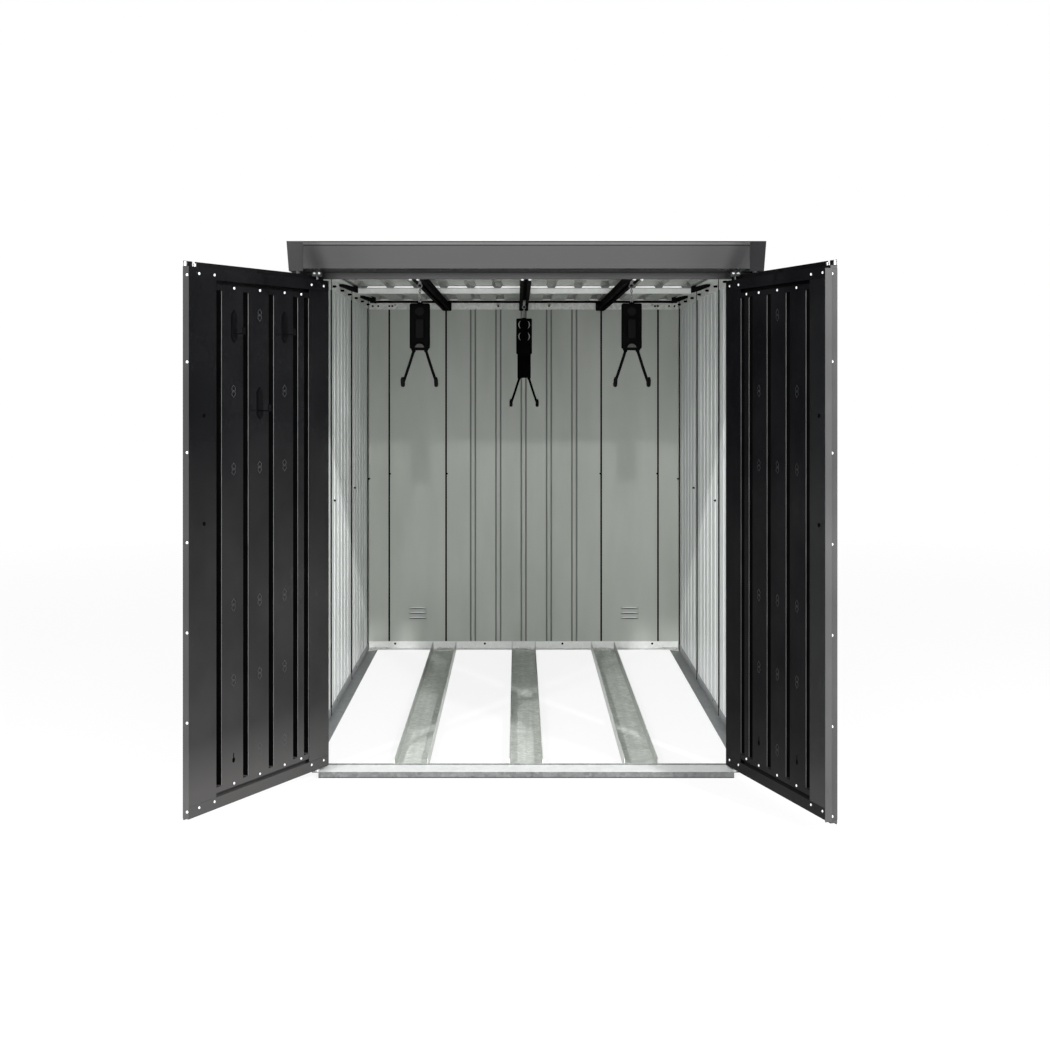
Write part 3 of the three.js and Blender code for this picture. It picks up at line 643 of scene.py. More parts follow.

# %% [markdown]
# Five grooves stiffen each door's skin. They are deep and narrow, so hardly any light reaches their floor: a black
# liner paints that shade into them, and a thin pale wire is a painted highlight along the fold that faces the camera.

# %% Grooves in the doors
GROOVES = (0.06, 0.109, 0.215, 0.321, 0.427)
GROOVE_FOOT, GROOVE_MIDDLE, GROOVE_HEAD = 0.0735, 0.65, 1.241
FOLD_FROM_MIDDLE, FOLD_WIRE = 0.0103, 0.0005
UPRIGHT = Matrix.Rotation(radians(-90), 4, "X")
# The black liners are painted shade in the deep grooves.
SHADE_LINER = [(-0.0097, -0.0063), (-0.0093, -0.0063), (-0.0066, 0.0047), (0.0066, 0.0047)]
SHADE_LINER += [(0.0093, -0.0063), (0.0097, -0.0063), (0.0069, 0.005), (-0.0069, 0.005)]
for hand, spot in door_spots.items():
    shade_liners, fold_highlights = bmesh.new(), bmesh.new()
    for u in GROOVES:
        plate(shade_liners, SHADE_LINER, 0, GROOVE_HEAD - GROOVE_FOOT, spot(u, 0, GROOVE_FOOT, "out") @ UPRIGHT, HAIR)
        stations = (GROOVE_FOOT, GROOVE_MIDDLE, GROOVE_HEAD)
        path = [spot(u - FOLD_FROM_MIDDLE, SKIN_FACE, z, "out").translation for z in stations]
        wire(fold_highlights, path, FOLD_WIRE, 8)
    piece(f"{hand}_groove_shade_liners", shade_liners, black_holes_and_shadows, f"{hand}_door")
    piece(f"{hand}_groove_fold_highlights", fold_highlights, fold_highlight, f"{hand}_door")
print("grooves a door:", len(GROOVES))

# %% [markdown]
# Hooks can be hung in a grid of keyhole slots in the doors' flats. Each slot is pressed as a pointed outline with a
# small round eye, so a thin raised line traces it. One slot of the left door and two of the right door are punched
# open and look black. The hooks cover three more slots of the left door.

# %% Keyhole slots in the doors
SLOT_COLUMNS = (0.369, 0.263, 0.157)
SLOT_ROWS = {1.19: (1,), 1.004: (0, 2), 0.818: (0, 1, 2), 0.493: (0, 1, 2), 0.313: (0, 1, 2), 0.128: (0, 1, 2)}
EYE, SLOT_WIRE, EYE_WIRE = 0.0022, 0.00032, 0.0003
POINTED = [(0, 0.015), (0.0075, 0.0075), (0.0052, 0), (0.0075, -0.0075), (0, -0.015)]
POINTED += [(-x, y) for x, y in POINTED[3:0:-1]]
OPEN_SLOT = [(0.0016, 0.011), (0.0016, 0.001), (0.0052, -0.003), (0.0052, -0.008), (0.0016, -0.012)]
OPEN_SLOT += [(-x, y) for x, y in OPEN_SLOT[::-1]]
OPEN_SLOT.reverse()
PUNCHED = {"left": ((0, 0.128),), "right": ((0, 0.128), (2, 0.128))}
for hand, spot in door_spots.items():
    marks, holes = bmesh.new(), bmesh.new()
    for z, columns in SLOT_ROWS.items():
        for column in columns:
            place = spot(SLOT_COLUMNS[column], SKIN_FACE, z, "out")
            if (column, z) in PUNCHED[hand]:
                plate(holes, OPEN_SLOT, -HAIR, 3 * HAIR, place, HAIR)
                continue
            wire(marks, [place @ Vector((x, y, HAIR)) for x, y in POINTED], SLOT_WIRE, 6, True)
            wire(marks, [place @ point for point in circle(EYE, HAIR, 10)], EYE_WIRE, 6, True)
    piece(f"{hand}_door_slot_lines", marks, slot_lines[hand], f"{hand}_door")
    piece(f"{hand}_door_open_slots", holes, black_holes_and_shadows, f"{hand}_door")
print("slots a door:", sum(len(columns) for columns in SLOT_ROWS.values()))

# %% [markdown]
# Two small zinc lugs stand on each door's top rail, one in its notch and one at its free corner. They centre the
# closed door under the header, and a third lug does the same at the foot.

# %% Centring lugs on the doors
LUG = rounded(0.0065, 0.005, 0.0012)
LUG_LEVEL, LUG_CHAMFER = -0.004, 0.0006
LUGS = [(0.504, 1.2925, 1.301), (0.5385, 1.2925, 1.3035), (0.504, 0.0195, 0.0215)]
for hand, spot in door_spots.items():
    lugs = bmesh.new()
    for u, low, high in LUGS:
        plate(lugs, LUG, 0, high - low, spot(u, LUG_LEVEL, low, "out") @ UPRIGHT, LUG_CHAMFER)
    piece(f"{hand}_door_lugs", lugs, zinc_plate, f"{hand}_door")
print("lugs a door:", len(LUGS))

# %% [markdown]
# Each door turns on two welded pins. A black block holds the upper pin, and the two bright bolts in its face shine
# against the dark header; they sit just above the door's top rail, which passes under them when the door closes. A
# zinc-plated washer carries the door's foot.

# %% Pivots
PIN_X, HINGE_Y = 0.544, -1.015
BLOCK, BLOCK_FOOT, BLOCK_HEIGHT = (0.026, 0.014, 0.002), 1.3005, 0.0125
WASHER, WASHER_FOOT = [(0.0068, 0), (0.0068, 0.0052), (0.006, 0.0056)], 0.0162
BOLT, BOLT_SHIFT, BOLT_LEVEL = 0.0034, 0.0062, 1.3094
pivots, blocks = bmesh.new(), bmesh.new()
for side in SIDE.values():
    x = side * PIN_X
    plate(blocks, rounded(*BLOCK), 0, BLOCK_HEIGHT, Matrix.Translation((x, HINGE_Y, BLOCK_FOOT)), 2 * CHAMFER)
    turned(pivots, WASHER, Matrix.Translation((x, HINGE_Y, WASHER_FOOT)))
    for shift in (-BOLT_SHIFT, BOLT_SHIFT):
        place = facing_front(x + shift, HINGE_Y - BLOCK[1] / 2, BOLT_LEVEL)
        turned(pivots, [(r * BOLT, h * BOLT) for r, h in DOME], place)
piece("door_pivots", pivots, zinc_plate)
piece("door_pivot_blocks", blocks, black_paint)

# %% [markdown]
# Overhead, each slotted rail is screwed to the header's hem in front and ends in a black plate on the rear rail.

# %% Rail screws and end plates
TRACKS = (-0.296, 0, 0.296)
HEM_PLACE, HEM_NORMAL, SCREW_SHIFT = (-0.9525, 1.298), (0, -0.5, -1), 0.01
END_SCREW, END_PLATE = (1.0098, 1.33), (1.0123, 1.3235)
places = [(x + shift, *HEM_PLACE) for x in TRACKS for shift in (-SCREW_SHIFT, SCREW_SHIFT)]
spots = [facing(place, HEM_NORMAL, (0, 1, 0)) for place in places]
spots += [facing_front(x, *END_SCREW) for x in TRACKS]
heads("rail_screws", spots, SCREW, 0.0045, white_head, steps=12)
end_plates = bmesh.new()
for x in TRACKS:
    plate(end_plates, rounded(0.035, 0.036, 0.004), 0, 0.0025, facing_front(x, *END_PLATE))
piece("rail_end_plates", end_plates, rail_paint)

# %% [markdown]
# The dark tips of the wall screws stick out of the side and rear top rails, and a black strip under the rear rail's
# top flange is painted shadow, a dark line under the roof. Two flat black plates stand against the top rails on each
# side.

# %% Screw tips, rear rail shadow and black plates
LEG_FACE, LEG_MIDDLE, REAR_LEG_FACE = 0.595, 1.324, 1.013
TIP_ROW = [-0.89 + 0.222 * i for i in range(9)]
REAR_TIPS = (0.098, 0.5075, 0.519, 0.562, 0.583)
LONG_TIP, LONG_TIP_RADIUS = [(1, -0.2), (1, 2.5), (0.8, 2.9), (0.3, 3.3)], 0.0036
tips = [facing((side * LEG_FACE, y, LEG_MIDDLE), (-side, 0, 0)) for side in SIDE.values() for y in TIP_ROW]
tips += [facing_front(side * x, REAR_LEG_FACE, LEG_MIDDLE) for side in SIDE.values() for x in REAR_TIPS]
heads("rail_tips", tips, LONG_TIP, LONG_TIP_RADIUS, black_holes_and_shadows, steps=12)
# A black strip under the rear rail's top flange is painted shadow.
fold = bmesh.new()
plate(fold, rounded(1.188, 0.0085, 0.0006), 0, 0.0006, facing_front(0, 1.0131, 1.3403), SMALL_CHAMFER)
piece("rear_rail_shadow", fold, black_holes_and_shadows)
black_plates = bmesh.new()
CORNER_PLATE = [(0, 0.0085), (0.13, 0.002), (0.2376, 0), (0.2376, 0.0235), (0.12, 0.0235), (0, 0.0155)]
CORNER_PLATE_X, CORNER_PLATE_ROWS, CORNER_PLATE_FOOT, CORNER_PLATE_GAUGE = 0.594, (-0.05, 0.625), 1.3265, 0.0016
for side in SIDE.values():
    outline = CORNER_PLATE if side < 0 else [(-x, z) for x, z in CORNER_PLATE[::-1]]
    for y in CORNER_PLATE_ROWS:
        plate(black_plates, outline, 0, CORNER_PLATE_GAUGE, facing((side * CORNER_PLATE_X, y, CORNER_PLATE_FOOT), (-side * 0.989, -0.147, 0)))
piece("top_corner_plates", black_plates, rail_paint)

# %% [markdown]
# The wall sheets meet in narrow standing seams. A dark sealing strip closes each seam, which is why the seams read
# as thin black lines inside, and one dark screw holds each seam at mid-height.

# %% Seam strips and seam screws
HALF, REAR_Y = 0.597, 1.015
SIDE_SEAMS = (-0.8618, -0.262, 0.338, 0.9378)
REAR_SEAMS = (-0.5198, -0.3, 0.3, 0.5198)
SEAL_REACH = (0.004, 1.345)
SIDE_TIPS, SIDE_LEVEL, REAR_LEVEL, BESIDE_SEAM = (-0.175, 0.44, 0.985), 0.658, 0.676, 0.004
SCREW_TIP = [(1, -0.2), (1, 1), (0.8, 1.1), (0.78, 1.8), (0.1, 2.3)]
seals = bmesh.new()
screws = []
SEAL, SEAL_SUNK = rounded(0.0066, 0.0032, 0.0003, steps=1), 0.0012
SIDE_SEAL, SIDE_SEAL_PROUD = rounded(0.005, 0.0052, 0.0003, steps=1), 0.0014
for side in SIDE.values():
    for y in SIDE_SEAMS:
        place = Matrix.Translation((side * (HALF - SIDE_SEAL_PROUD), y, 0))
        plate(seals, SIDE_SEAL, *SEAL_REACH, place, SMALL_CHAMFER)
    screws += [facing((side * HALF, y, SIDE_LEVEL), (-side, 0, 0)) for y in SIDE_TIPS]
for x in REAR_SEAMS:
    plate(seals, SEAL, *SEAL_REACH, Matrix.Translation((x, REAR_Y + SEAL_SUNK, 0)), SMALL_CHAMFER)
    screws.append(facing_front(x + (BESIDE_SEAM if x < 0 else -BESIDE_SEAM), REAR_Y, REAR_LEVEL))
piece("seam_strips", seals, rubber)
heads("seam_screws", screws, SCREW_TIP, RIVET, black_holes_and_shadows, steps=12)
print("seams:", 2 * len(SIDE_SEAMS) + len(REAR_SEAMS))

# %% [markdown]
# The vent slots are pressed louvres: outside, a hood hangs over each slot and keeps the rain out. A hood is a
# quarter bowl, lofted from thin outlines that shrink towards the ends. Inside, each slot shows a pale lip, a painted
# highlight, over a black gap.

# %% Louvre hoods, lips and gaps
VENT_X, VENT_ROWS, HOOD_HALF = 0.4102, (0.1175, 0.1365, 0.1555), 0.042
HOOD_BACK, HOOD_DEPTH, HOOD_DROP, HOOD_RISE = REAR_Y + 0.0012, 0.0075, 0.005, 0.0115
HOOD_INSIDE = (0.84, 0.88)
STATIONS, STEPS = 12, 6


def hood_ring(x, z, swell):
    turns = [radians(90 * step / STEPS) for step in range(STEPS + 1)]
    outer = [(HOOD_DEPTH * swell * sin(turn), HOOD_RISE * swell * cos(turn)) for turn in turns]
    inner = [(depth * HOOD_INSIDE[0], rise * HOOD_INSIDE[1]) for depth, rise in outer[::-1]]
    return [Vector((x, HOOD_BACK + depth, z - HOOD_DROP + rise)) for depth, rise in outer + inner]


SLOT_SHARES = (0.98, 0.8, 0.4, 0, -0.4, -0.8, -0.98)
SLOT_HALF, SLOT_CORNER = HOOD_HALF * 0.84, 0.82 * HOOD_HALF
hoods, lip_highlights, gaps = bmesh.new(), bmesh.new(), bmesh.new()
for side in SIDE.values():
    for z in VENT_ROWS:
        rings = []
        for i in range(STATIONS + 1):
            share = -cos(pi * i / STATIONS)
            swell = max(0.06, (1 - share**4) ** 0.5)
            rings.append(hood_ring(side * VENT_X + share * HOOD_HALF, z, swell))
        joined_rings(hoods, rings)
        for body, low, high, proud in ((lip_highlights, 0.0002, 0.0052, 0.0024), (gaps, -0.0032, -0.0002, 0.0006)):
            outline = [(-SLOT_CORNER, low), (SLOT_CORNER, low)]
            outline += [(share * SLOT_HALF, low + (high - low) * (1 - share**4)) for share in SLOT_SHARES]
            plate(body, outline, 0, proud, facing_front(side * VENT_X, REAR_Y, z), SMALL_CHAMFER)
piece("vent_hoods", hoods, rear_wall)
# The pale lips are a painted highlight along each slot.
piece("vent_lip_highlights", lip_highlights, white_head)
piece("vent_gaps", gaps, black_holes_and_shadows)

# %% [markdown]
# The floor frame is bolted through small gussets in its rear corners, and its legs are punched for wall screws.

# %% Floor frame gussets, bolts and holes
GUSSET = [(0, 0), (0.07, 0), (0.07, 0.012), (0.012, 0.07), (0, 0.07)]
GUSSET_BOLTS = ((0.02, 0.02), (0.055, 0.012), (0.012, 0.055))
GUSSET_FOOT, GUSSET_GAUGE, GUSSET_GAP = 0.0021, 0.0025, 0.003
LEG_GAUGE, HOLE_LEVEL, SIDE_HOLES, REAR_HOLES = 0.002, 0.019, (-0.7, -0.1, 0.5), (-0.497, -0.15, 0.15, 0.497)
CHANNELS, TAB_BOLT = (-0.304, 0, 0.304), 0.018
HEX_RADIUS = 0.0048
gussets = bmesh.new()
bolts, punched = [], []
for side in SIDE.values():
    corner_x, corner_y = side * (HALF - GUSSET_GAP), REAR_Y - GUSSET_GAP
    outline = [(x, -y) for x, y in GUSSET[::-1]] if side < 0 else [(-x, -y) for x, y in GUSSET]
    plate(gussets, outline, 0, GUSSET_GAUGE, Matrix.Translation((corner_x, corner_y, GUSSET_FOOT)))
    for x, y in GUSSET_BOLTS:
        bolts.append(facing_up(corner_x - side * x, corner_y - y, GUSSET_FOOT + GUSSET_GAUGE))
    for y in SIDE_HOLES:
        punched.append(facing((side * (HALF - LEG_GAUGE), y, HOLE_LEVEL), (-side, 0, 0)))
punched += [facing_front(x, REAR_Y - LEG_GAUGE, HOLE_LEVEL) for x in REAR_HOLES]
for x in CHANNELS:
    bolts += [facing_up(x + shift, 0.997, 0.0041) for shift in (-TAB_BOLT, TAB_BOLT)]
    bolts += [facing((x + shift, -0.9475, 0.0105), (0, 1, 0)) for shift in (-TAB_BOLT, TAB_BOLT)]
piece("floor_gussets", gussets, galvanised_steel)
heads("floor_bolts", bolts, HEX, HEX_RADIUS, zinc_plate, steps=6)
heads("floor_holes", punched, [(1, -0.05), (1, 0.04)], 0.0042, black_holes_and_shadows)

# %% [markdown]
# The roof sheets are screwed down through the crests of their ribs with hexagon screws on rubber washers. The
# crests fall to the rear by the roof's fall, so each screw is lifted by its distance from the rear wall, and by one
# gauge more where it stands on the front sheet, which laps over the rear one.

# %% Roof screws
RIB_PITCH, RIB_HEIGHT, ROOF_REAR, FALL = 0.09, 0.014, 1.3503, 0.008 / 2.03
RIB_PLACES = [(i - 6) * RIB_PITCH for i in range(13)]
SCREW_ROWS, SHEET_GAUGE, WASHER_GAUGE = ((-0.985, 1), (0.21, 1), (0.98, 0)), 0.0018, 0.0012
washers, roof_screws = [], []
for y, sheets_below in SCREW_ROWS:
    crest = ROOF_REAR + (REAR_Y - y) * FALL + RIB_HEIGHT + sheets_below * SHEET_GAUGE
    for x in RIB_PLACES:
        place = facing_up(x, y, crest)
        washers.append(place)
        roof_screws.append(place @ Matrix.Translation((0, 0, WASHER_GAUGE)))
heads("roof_washers", washers, [(1, 0), (1, 0.16), (0.8, 0.24)], 0.0075, rubber, steps=18)
heads("roof_screws", roof_screws, HEX, HEX_RADIUS, zinc_plate, steps=6)
print("roof screws:", len(roof_screws))

# %% [markdown]
# Between the ribs, white foam closers fill the flats above the purlin. From below they are the bright dashes between
# the dark rib ends; their faint glow is painted light. A darker steel strip along the purlin's top is painted shade.

# %% Closers over the purlin and in the ribs
closers, shade, fillers = bmesh.new(), bmesh.new(), bmesh.new()
CLOSER, CLOSER_PLACE = [(-0.034, 0), (0.034, 0), (0.029, 0.0058), (-0.029, 0.0058)], (0.1928, 1.3449)
FILLER, FILLER_PLACE = [(-0.0165, 0), (0.0165, 0), (0.0095, 0.0136), (-0.0095, 0.0136)], (1.028, 1.3501)
# A darker steel strip along the purlin's top is painted shade under the rib ends.
plate(shade, rounded(1.12, 0.008, 0.0006), 0, 0.0008, facing_front(0, 0.1929, 1.3472), SMALL_CHAMFER)
for i in range(12):
    plate(closers, CLOSER, 0.0006, 0.004, facing_front((i - 5.5) * RIB_PITCH, *CLOSER_PLACE), 2 * CHAMFER)
for x in RIB_PLACES:
    plate(fillers, FILLER, 0, 0.012, facing_front(x, *FILLER_PLACE), 2 * CHAMFER)
piece("purlin_shade", shade, base_steel)
piece("purlin_closers", closers, glowing_foam)
piece("rib_fillers", fillers, galvanised_steel)

# %% [markdown]
# The fascia's top edge is hemmed to a flat lip, which is the bright line along the roof in the photograph. Narrow
# dark joints border it and show where the side fascias wrap round its ends. Two black lines along the front sill are
# painted shadows: one under its rear upstand and one at its foot.

# %% Fascia lip, dark joints and sill shadows
FASCIA_FACE, FASCIA_END = -1.073, 0.5735
JOINT_WIDTH = 0.0022
lip, joints_and_shadows = bmesh.new(), bmesh.new()


def strip(body, x, y, z, width, height, proud, radius=0.0004):
    plate(body, rounded(width, height, radius, steps=1), 0, proud, facing_front(x, y, z), HAIR)


strip(lip, 0, FASCIA_FACE, 1.382, 2 * FASCIA_END, 0.0068, 0.0016)
strip(joints_and_shadows, 0, FASCIA_FACE, 1.3866, 2 * FASCIA_END, 0.0021, 0.0014)
strip(joints_and_shadows, 0, FASCIA_FACE, 1.3776, 2 * FASCIA_END, 0.0018, 0.0003)
for side in SIDE.values():
    strip(joints_and_shadows, side * (FASCIA_END + JOINT_WIDTH / 2), FASCIA_FACE, 1.3495, JOINT_WIDTH, 0.074, 0.0004)
# The last two strips are painted shadows: under the sill's rear upstand and at its foot.
strip(joints_and_shadows, 0, -0.9502, 0.0188, 1.104, JOINT_WIDTH, 0.0005, 0.0003)
strip(joints_and_shadows, 0, -1.0268, 0.0016, 1.076, 0.0016, 0.0005, 0.0003)
piece("fascia_lip", lip, hem_coat)
piece("fascia_joints_and_sill_shadows", joints_and_shadows, black_holes_and_shadows)

# %% [markdown]
# The three bike holders are alike: a moulded housing hangs by a short chain from its runner, and a slider with two
# curved arms draws out of it. The CAD solids are plain, so these pieces replace them in the same places. On one side
# the housing has a framed panel and a thumb arch, on the other two round bosses whose rims carry pale arcs of painted
# highlight, and the middle holder hangs the other way round. The arms get smooth curves and rubber sleeves.


# %% Smooth curves and soft boxes
def curve(points, steps):
    points = [Vector(point) for point in points]
    guides = [2 * points[0] - points[1]] + points + [2 * points[-1] - points[-2]]
    path = []
    for a, b, c, d in zip(guides, guides[1:], guides[2:], guides[3:]):
        for i in range(steps):
            t = i / steps
            bend = (2 * a - 5 * b + 4 * c - d) * t**2 + (3 * b - a - 3 * c + d) * t**3
            path.append(0.5 * (2 * b + (c - a) * t + bend))
    return path + [points[-1]]


SMALLEST_CORNER = 0.0006


def soft_box(body, centre, width, depth, low, high, corner, edge):
    turns = [share * pi / 2 for share in (0, 0.35, 0.7, 1)]
    steps = [(edge * (1 - cos(turn)), edge * (1 - sin(turn))) for turn in turns]
    stack = [(low + rise, shrink) for rise, shrink in steps]
    stack += [(high - rise, shrink) for rise, shrink in steps[::-1]]
    rings = []
    for z, shrink in stack:
        radius = max(corner - shrink, SMALLEST_CORNER)
        outline = rounded(width - 2 * shrink, depth - 2 * shrink, radius, centre)
        rings.append([Vector((x, y, z)) for x, y in outline])
    joined_rings(body, rings)


def holder_axis(hand):
    low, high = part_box(f"{hand}_holder")
    return (low.x + high.x) / 2, (low.y + high.y) / 2, low.z, high.z


# %% [markdown]
# The chain's links stand across each other in turn, and their pitch is stretched to the height between the housing
# and the runner. A moulded cup holds the lowest link, and a bright screw closes the runner's front.

# %% Holder chains
WIDTH, DEPTH, HEIGHT = 0.056, 0.034, 0.127
LINK_LONG, LINK_WIDE, LINK_WIRE, LINK_STEPS = 0.0125, 0.0078, 0.0014, 24
CUP, CUP_SUNK = [(0.0072, 0), (0.0072, 0.002), (0.006, 0.0034), (0.003, 0.004)], 0.0006
RUNNER_SCREW, RUNNER_SCREW_DROP = 0.0045, 0.006


def hang(hand):
    x, y, low, high = holder_axis(hand)
    top = low + HEIGHT
    chain, cup = bmesh.new(), bmesh.new()
    count = max(2, round((high - top) / (LINK_LONG - 3 * LINK_WIRE)))
    pitch = (high - top - LINK_LONG + 0.002) / (count - 1)
    turns = [2 * pi * step / LINK_STEPS for step in range(LINK_STEPS)]
    rise = Vector((0, 0, LINK_LONG / 2 - LINK_WIRE))
    for i in range(count):
        middle = Vector((x, y, high - LINK_LONG / 2 - i * pitch))
        across = Vector((1, 0, 0) if i % 2 else (0, 1, 0)) * (LINK_WIDE / 2 - LINK_WIRE)
        wire(chain, [middle + across * cos(turn) + rise * sin(turn) for turn in turns], LINK_WIRE, 8, True)
    turned(cup, CUP, Matrix.Translation((x, y, top - CUP_SUNK)))
    made = piece(f"{hand}_hanger", chain, dark_zinc, f"{hand}_holder")
    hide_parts(f"{hand}_holder")
    piece(f"{hand}_hanger_cup", cup, black_plastic, f"{hand}_holder")
    front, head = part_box(f"{hand}_runner")
    spot = facing_front(x, front.y, head.z - RUNNER_SCREW_DROP)
    heads(f"{hand}_runner_screw", [spot], DOME, RUNNER_SCREW, zinc_plate, f"{hand}_runner")


# %% [markdown]
# A housing is a soft box. What stands on it is placed on one of its two broad skins, by its shift from the middle
# and its height.

# %% Holder housings
BOSS = [(0.0205, 0), (0.0205, 0.0008), (0.0195, 0.0016), (0.0182, 0.0016), (0.017, 0.0007), (0.0052, 0.0007)]
BOSS += [(0.0044, 0.0014), (0.0022, 0.0016)]
BOSS_DROPS = (0.0225, 0.0645)
# The pale arcs on the bosses' rims are a painted highlight.
RIM, RIM_LEVEL = 0.0188, 0.0017
ARC_RADII = (0.0004, 0.0009, 0.0012, 0.0014, 0.0015, 0.0014, 0.0012, 0.0009, 0.0004)
PANEL, PANEL_DROP, SUNK = (0.0215, 0.052, 0.003), 0.071, -0.0002
GROOVE, GROOVE_SHIFT = (0.0034, 0.053, 0.0012), 0.0132
BUTTON = [(0.0125, 0), (0.0125, 0.0006), (0.0115, 0.001), (0.0105, 0.001)]
THUMB_ARCH, ARCH_RISE = [(0.0175, 0.0165, 0.0005), (0.0125, 0.0105, 0.0012), (0.009, 0.0065, 0.0018)], 0.0035


def housing(hand, panel_side):
    x, y, low, _ = holder_axis(hand)
    top = low + HEIGHT

    def on_skin(side, shift, z):
        return facing((x + shift, y + side * DEPTH / 2, z), (0, side, 0))

    body, panels, grooves, rim_highlights, grip = (bmesh.new() for _ in range(5))
    soft_box(body, (x, y), WIDTH, DEPTH, low, top, 0.007, 0.0045)
    for drop in BOSS_DROPS:
        boss = on_skin(-panel_side, 0, top - drop)
        turned(body, BOSS, boss, 36)
        for half_turn in (0, 180):
            turns = [radians(half_turn + turn) for turn in range(-44, 45, 11)]
            wire(rim_highlights, [boss @ Vector((RIM * cos(turn), RIM * sin(turn), RIM_LEVEL)) for turn in turns], ARC_RADII, 8)
    plate(panels, rounded(*PANEL), SUNK, 0.0011, on_skin(panel_side, 0, top - PANEL_DROP), 0.0005)
    turned(panels, BUTTON, on_skin(panel_side, 0, top - BOSS_DROPS[0]), 28)
    for shift in (-GROOVE_SHIFT, GROOVE_SHIFT):
        plate(grooves, rounded(*GROOVE), SUNK, -SUNK, on_skin(panel_side, shift, top - PANEL_DROP), HAIR)
    for (reach, rise, proud), made in zip(THUMB_ARCH, (grooves, grip, grip)):
        outline = [(reach * cos(radians(turn)), rise * sin(radians(turn))) for turn in range(0, 181, 12)]
        plate(made, outline, SUNK, proud, on_skin(panel_side, 0, low + ARCH_RISE), SMALL_CHAMFER)
    parts = (
        ("housing", body, black_plastic), ("housing_panels", panels, scuffed_plastic),
        ("housing_grooves", grooves, black_holes_and_shadows), ("housing_rim_highlights", rim_highlights, rim_highlight_plastic),
        ("thumb_grip", grip, pale_plastic),
    )
    for part, made, finish in parts:
        piece(f"{hand}_{part}", made, finish, f"{hand}_holder")


for hand, panel_side in (("left", -1), ("centre", 1), ("right", -1)):
    housing(hand, panel_side)
    hang(hand)

# %% [markdown]
# A slider is a ribbed blade with two arms that spread downwards and turn up in hooks. They are drawn as one smooth
# curve each, and a rubber sleeve swells over the hook.

# %% Holder sliders
BLADE, BLADE_LENGTH, BLADE_FOOT = (0.0478, 0.0258), 0.1, 0.004
RIB_SHIFTS, RIB_LEVEL, RIB_WIRE = (-0.0155, 0, 0.0155), 0.0129, 0.0008
ARM_DROP, ARM_ROOT, ARM_SPREAD, ARM_WIRE = 0.101, 0.0165, 0.0465, 0.004
HOOK_FORWARD, HOOK_UP, TIP = 0.032, 0.02, 0.0056
COLLAR = [(0.0056, 0), (0.0056, 0.003), (0.0044, 0.006)]
for hand in PLACES:
    x, y, _, _ = holder_axis(hand)
    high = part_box(f"{hand}_slider")[1].z
    foot = high - BLADE_LENGTH
    body, sleeves = bmesh.new(), bmesh.new()
    soft_box(body, (x, y), *BLADE, foot - BLADE_FOOT, high, 0.004, 0.0012)
    for shift in RIB_SHIFTS:
        wire(body, [(x + shift, y - RIB_LEVEL, z) for z in (foot + 0.006, foot + 0.04, high - 0.006)], RIB_WIRE, 6)
    for side in SIDE.values():
        reach, floor_z = x + side * ARM_SPREAD, foot - ARM_DROP
        root = (x + side * ARM_ROOT, y, foot - 0.003)
        middle = (x + side * (ARM_ROOT + ARM_SPREAD) / 2, y, foot - ARM_DROP / 2)
        hook = [(reach, y, floor_z + TIP), (reach, y - HOOK_FORWARD / 2, floor_z)]
        hook.append((reach, y - HOOK_FORWARD, floor_z + HOOK_UP))
        wire(body, curve([root, middle] + hook, 8), ARM_WIRE, 14)
        turned(body, COLLAR, facing(root, (side * 0.3, 0, -1), (0, 1, 0)), 16)
        sleeve = curve(hook, 9)
        radii = [0.0044, 0.0051] + [TIP] * (len(sleeve) - 5) + [0.0054, 0.0044, 0.0022]
        wire(sleeves, sleeve, radii, 16)
    made = piece(f"{hand}_draw_slider", body, black_plastic, f"{hand}_slider")
    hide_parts(f"{hand}_slider")
    piece(f"{hand}_arm_sleeves", sleeves, rubber, f"{hand}_slider")
print("holders dressed")

# %% [markdown]
# The floor and the world are white to the camera and in reflections, and plain lights to everything else. Light
# Path tells the rays apart. The floor mixes that white with a real diffuse surface, so it keeps the soft shadow.


# %% Floor and world
def seen_rays(paint):
    path = paint.node("LightPath", {}, {})
    seen = [Wire(paint, path.outputs[name]) for name in ("Is Camera Ray", "Is Glossy Ray", "Is Transmission Ray")]
    return seen[0].most(seen[1]).most(seen[2])


FLOOR_WHITE, SKY_LIGHT = 0.86, 0.72
FLOOR_HALF, FLOOR_LEVEL = 30, -0.0005
floor_paint = Finish("floor", None)
white = floor_paint.wire("Emission", {}, {"Color": colour(1, 1, 1), "Strength": 1.0})
matt = floor_paint.wire("BsdfDiffuse", {}, {"Color": colour(0.8, 0.8, 0.8)})
reach = floor_paint.wire("VectorMath", {"operation": "LENGTH"}, {0: floor_paint.place()}, "Value")
far = floor_paint.band(reach * 0.1, 0.22, 0.6)
share = seen_rays(floor_paint) * (FLOOR_WHITE + far * (1 - FLOOR_WHITE))
mixed = floor_paint.wire("MixShader", {}, {0: share, 1: matt, 2: white})
floor_paint.node("OutputMaterial", {}, {"Surface": mixed})


def sheet(name, corners, finish):
    body = bmesh.new()
    body.faces.new([body.verts.new(corner) for corner in corners])
    mesh = bpy.data.meshes.new(name)
    body.to_mesh(mesh)
    body.free()
    mesh.materials.append(finish.material)
    made = bpy.data.objects.new(name, mesh)
    scene.collection.objects.link(made)
    made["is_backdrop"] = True
    return made


square = ((-1, -1), (1, -1), (1, 1), (-1, 1))
sheet("floor", [(x * FLOOR_HALF, y * FLOOR_HALF, FLOOR_LEVEL) for x, y in square], floor_paint)

sky = Finish("sky", None)
world = bpy.data.worlds.new("studio")
world.use_nodes = True
sky.tree = world.node_tree
sky.tree.nodes.clear()
strength = SKY_LIGHT + seen_rays(sky) * (1 - SKY_LIGHT)
background = sky.wire("Background", {}, {"Color": colour(1, 1, 1), "Strength": strength})
sky.node("OutputWorld", {}, {"Surface": background})
bpy.data.materials.remove(sky.material)
scene.world = world

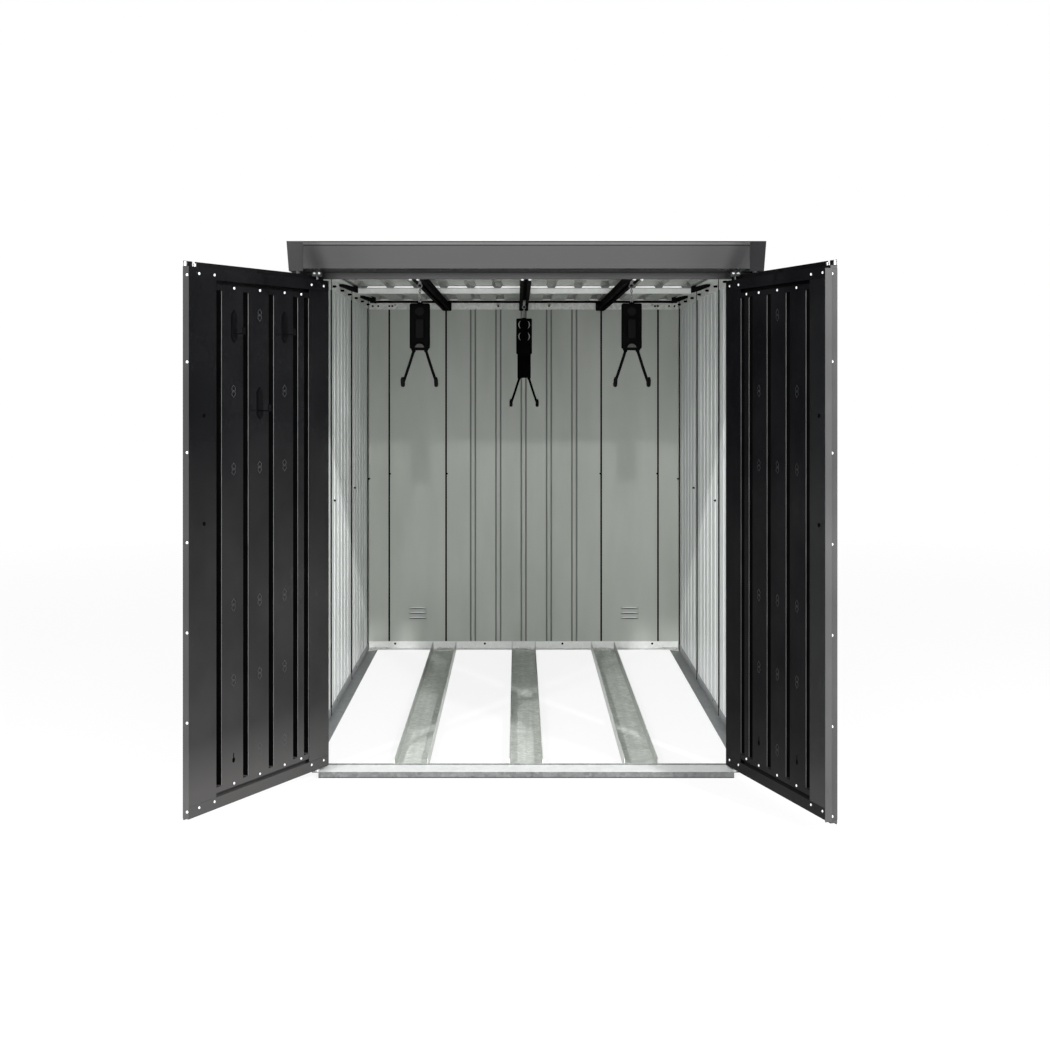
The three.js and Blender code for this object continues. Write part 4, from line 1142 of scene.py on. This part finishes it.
# %% [markdown]
# Five soft lamps stand round the front, as in a product studio: one lights the fascia and the deep interior, and two
# on each side give the open doors a gentle gradient. Three small hard lamps draw the light edges on the side walls
# and the shadows of the ribs; they are hidden from reflections, where they would show as hot points. The right-hand
# lamps are stronger, because they light the left wall and the left door, the brighter ones in the photograph.


# %% Lamps
def softbox(name, place, target, size, power, glossy=True):
    light = bpy.data.lights.new(name, "AREA")
    light.shape = "RECTANGLE"
    light.size, light.size_y = size
    light.energy = power
    lamp = bpy.data.objects.new(name, light)
    lamp.location = place
    lamp.visible_glossy = glossy
    lamp.rotation_euler = (Vector(target) - Vector(place)).to_track_quat("-Z", "Y").to_euler()
    scene.collection.objects.link(lamp)


SPOT_SIZE = (0.1, 0.1)
PANEL_POWER = {"left": 36, "right": 98}
SPOT_POWER = {"left": 148, "right": 184}
softbox("front softbox", (0, -5.6, 1.75), (0, 0, 1), (2.3, 1.5), 43)
softbox("front spot", (0, -5.6, 2.45), (0, 1, 0.8), (0.08, 0.08), 55, False)
for hand, side in SIDE.items():
    softbox(f"{hand} softbox", (side * 2.4, -5, 1.6), (0, 0, 0.8), (1, 1.6), 90)
    softbox(f"{hand} spot", (side * 2.1, -4, 3.04), (-side * 0.6, 0, 0.3), SPOT_SIZE, SPOT_POWER[hand], False)
    softbox(f"{hand} panel", (side * 4.6, -3.2, 1), (side * 0.6, -1.5, 0.7), (1.4, 2.2), PANEL_POWER[hand])

# %% [markdown]
# A narrow black flag hangs over each door. No camera sees it: it keeps the lamps off the slanted strip that the
# glossy fascia shows near each of its ends.

# %% Flags
FLAG, FLAG_Y = [(-0.6092, 1.42), (-0.5604, 1.31), (-0.5283, 1.31), (-0.5687, 1.42)], -1.323
for hand, side in SIDE.items():
    flag = sheet(f"{hand}_flag", [(-side * x, FLAG_Y, z) for x, z in FLAG], black_holes_and_shadows)
    flag.visible_camera = flag.visible_diffuse = False

# %% [markdown]
# Last, the sizes of the CAD model's box and of the dressed locker are printed side by side.

# %% Compare the sizes
dressed_box = [list(corner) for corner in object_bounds()]
for title, (low, high) in (("CAD", cad_box), ("dressed", dressed_box)):
    print(title, [round(b - a, 4) for a, b in zip(low, high)])
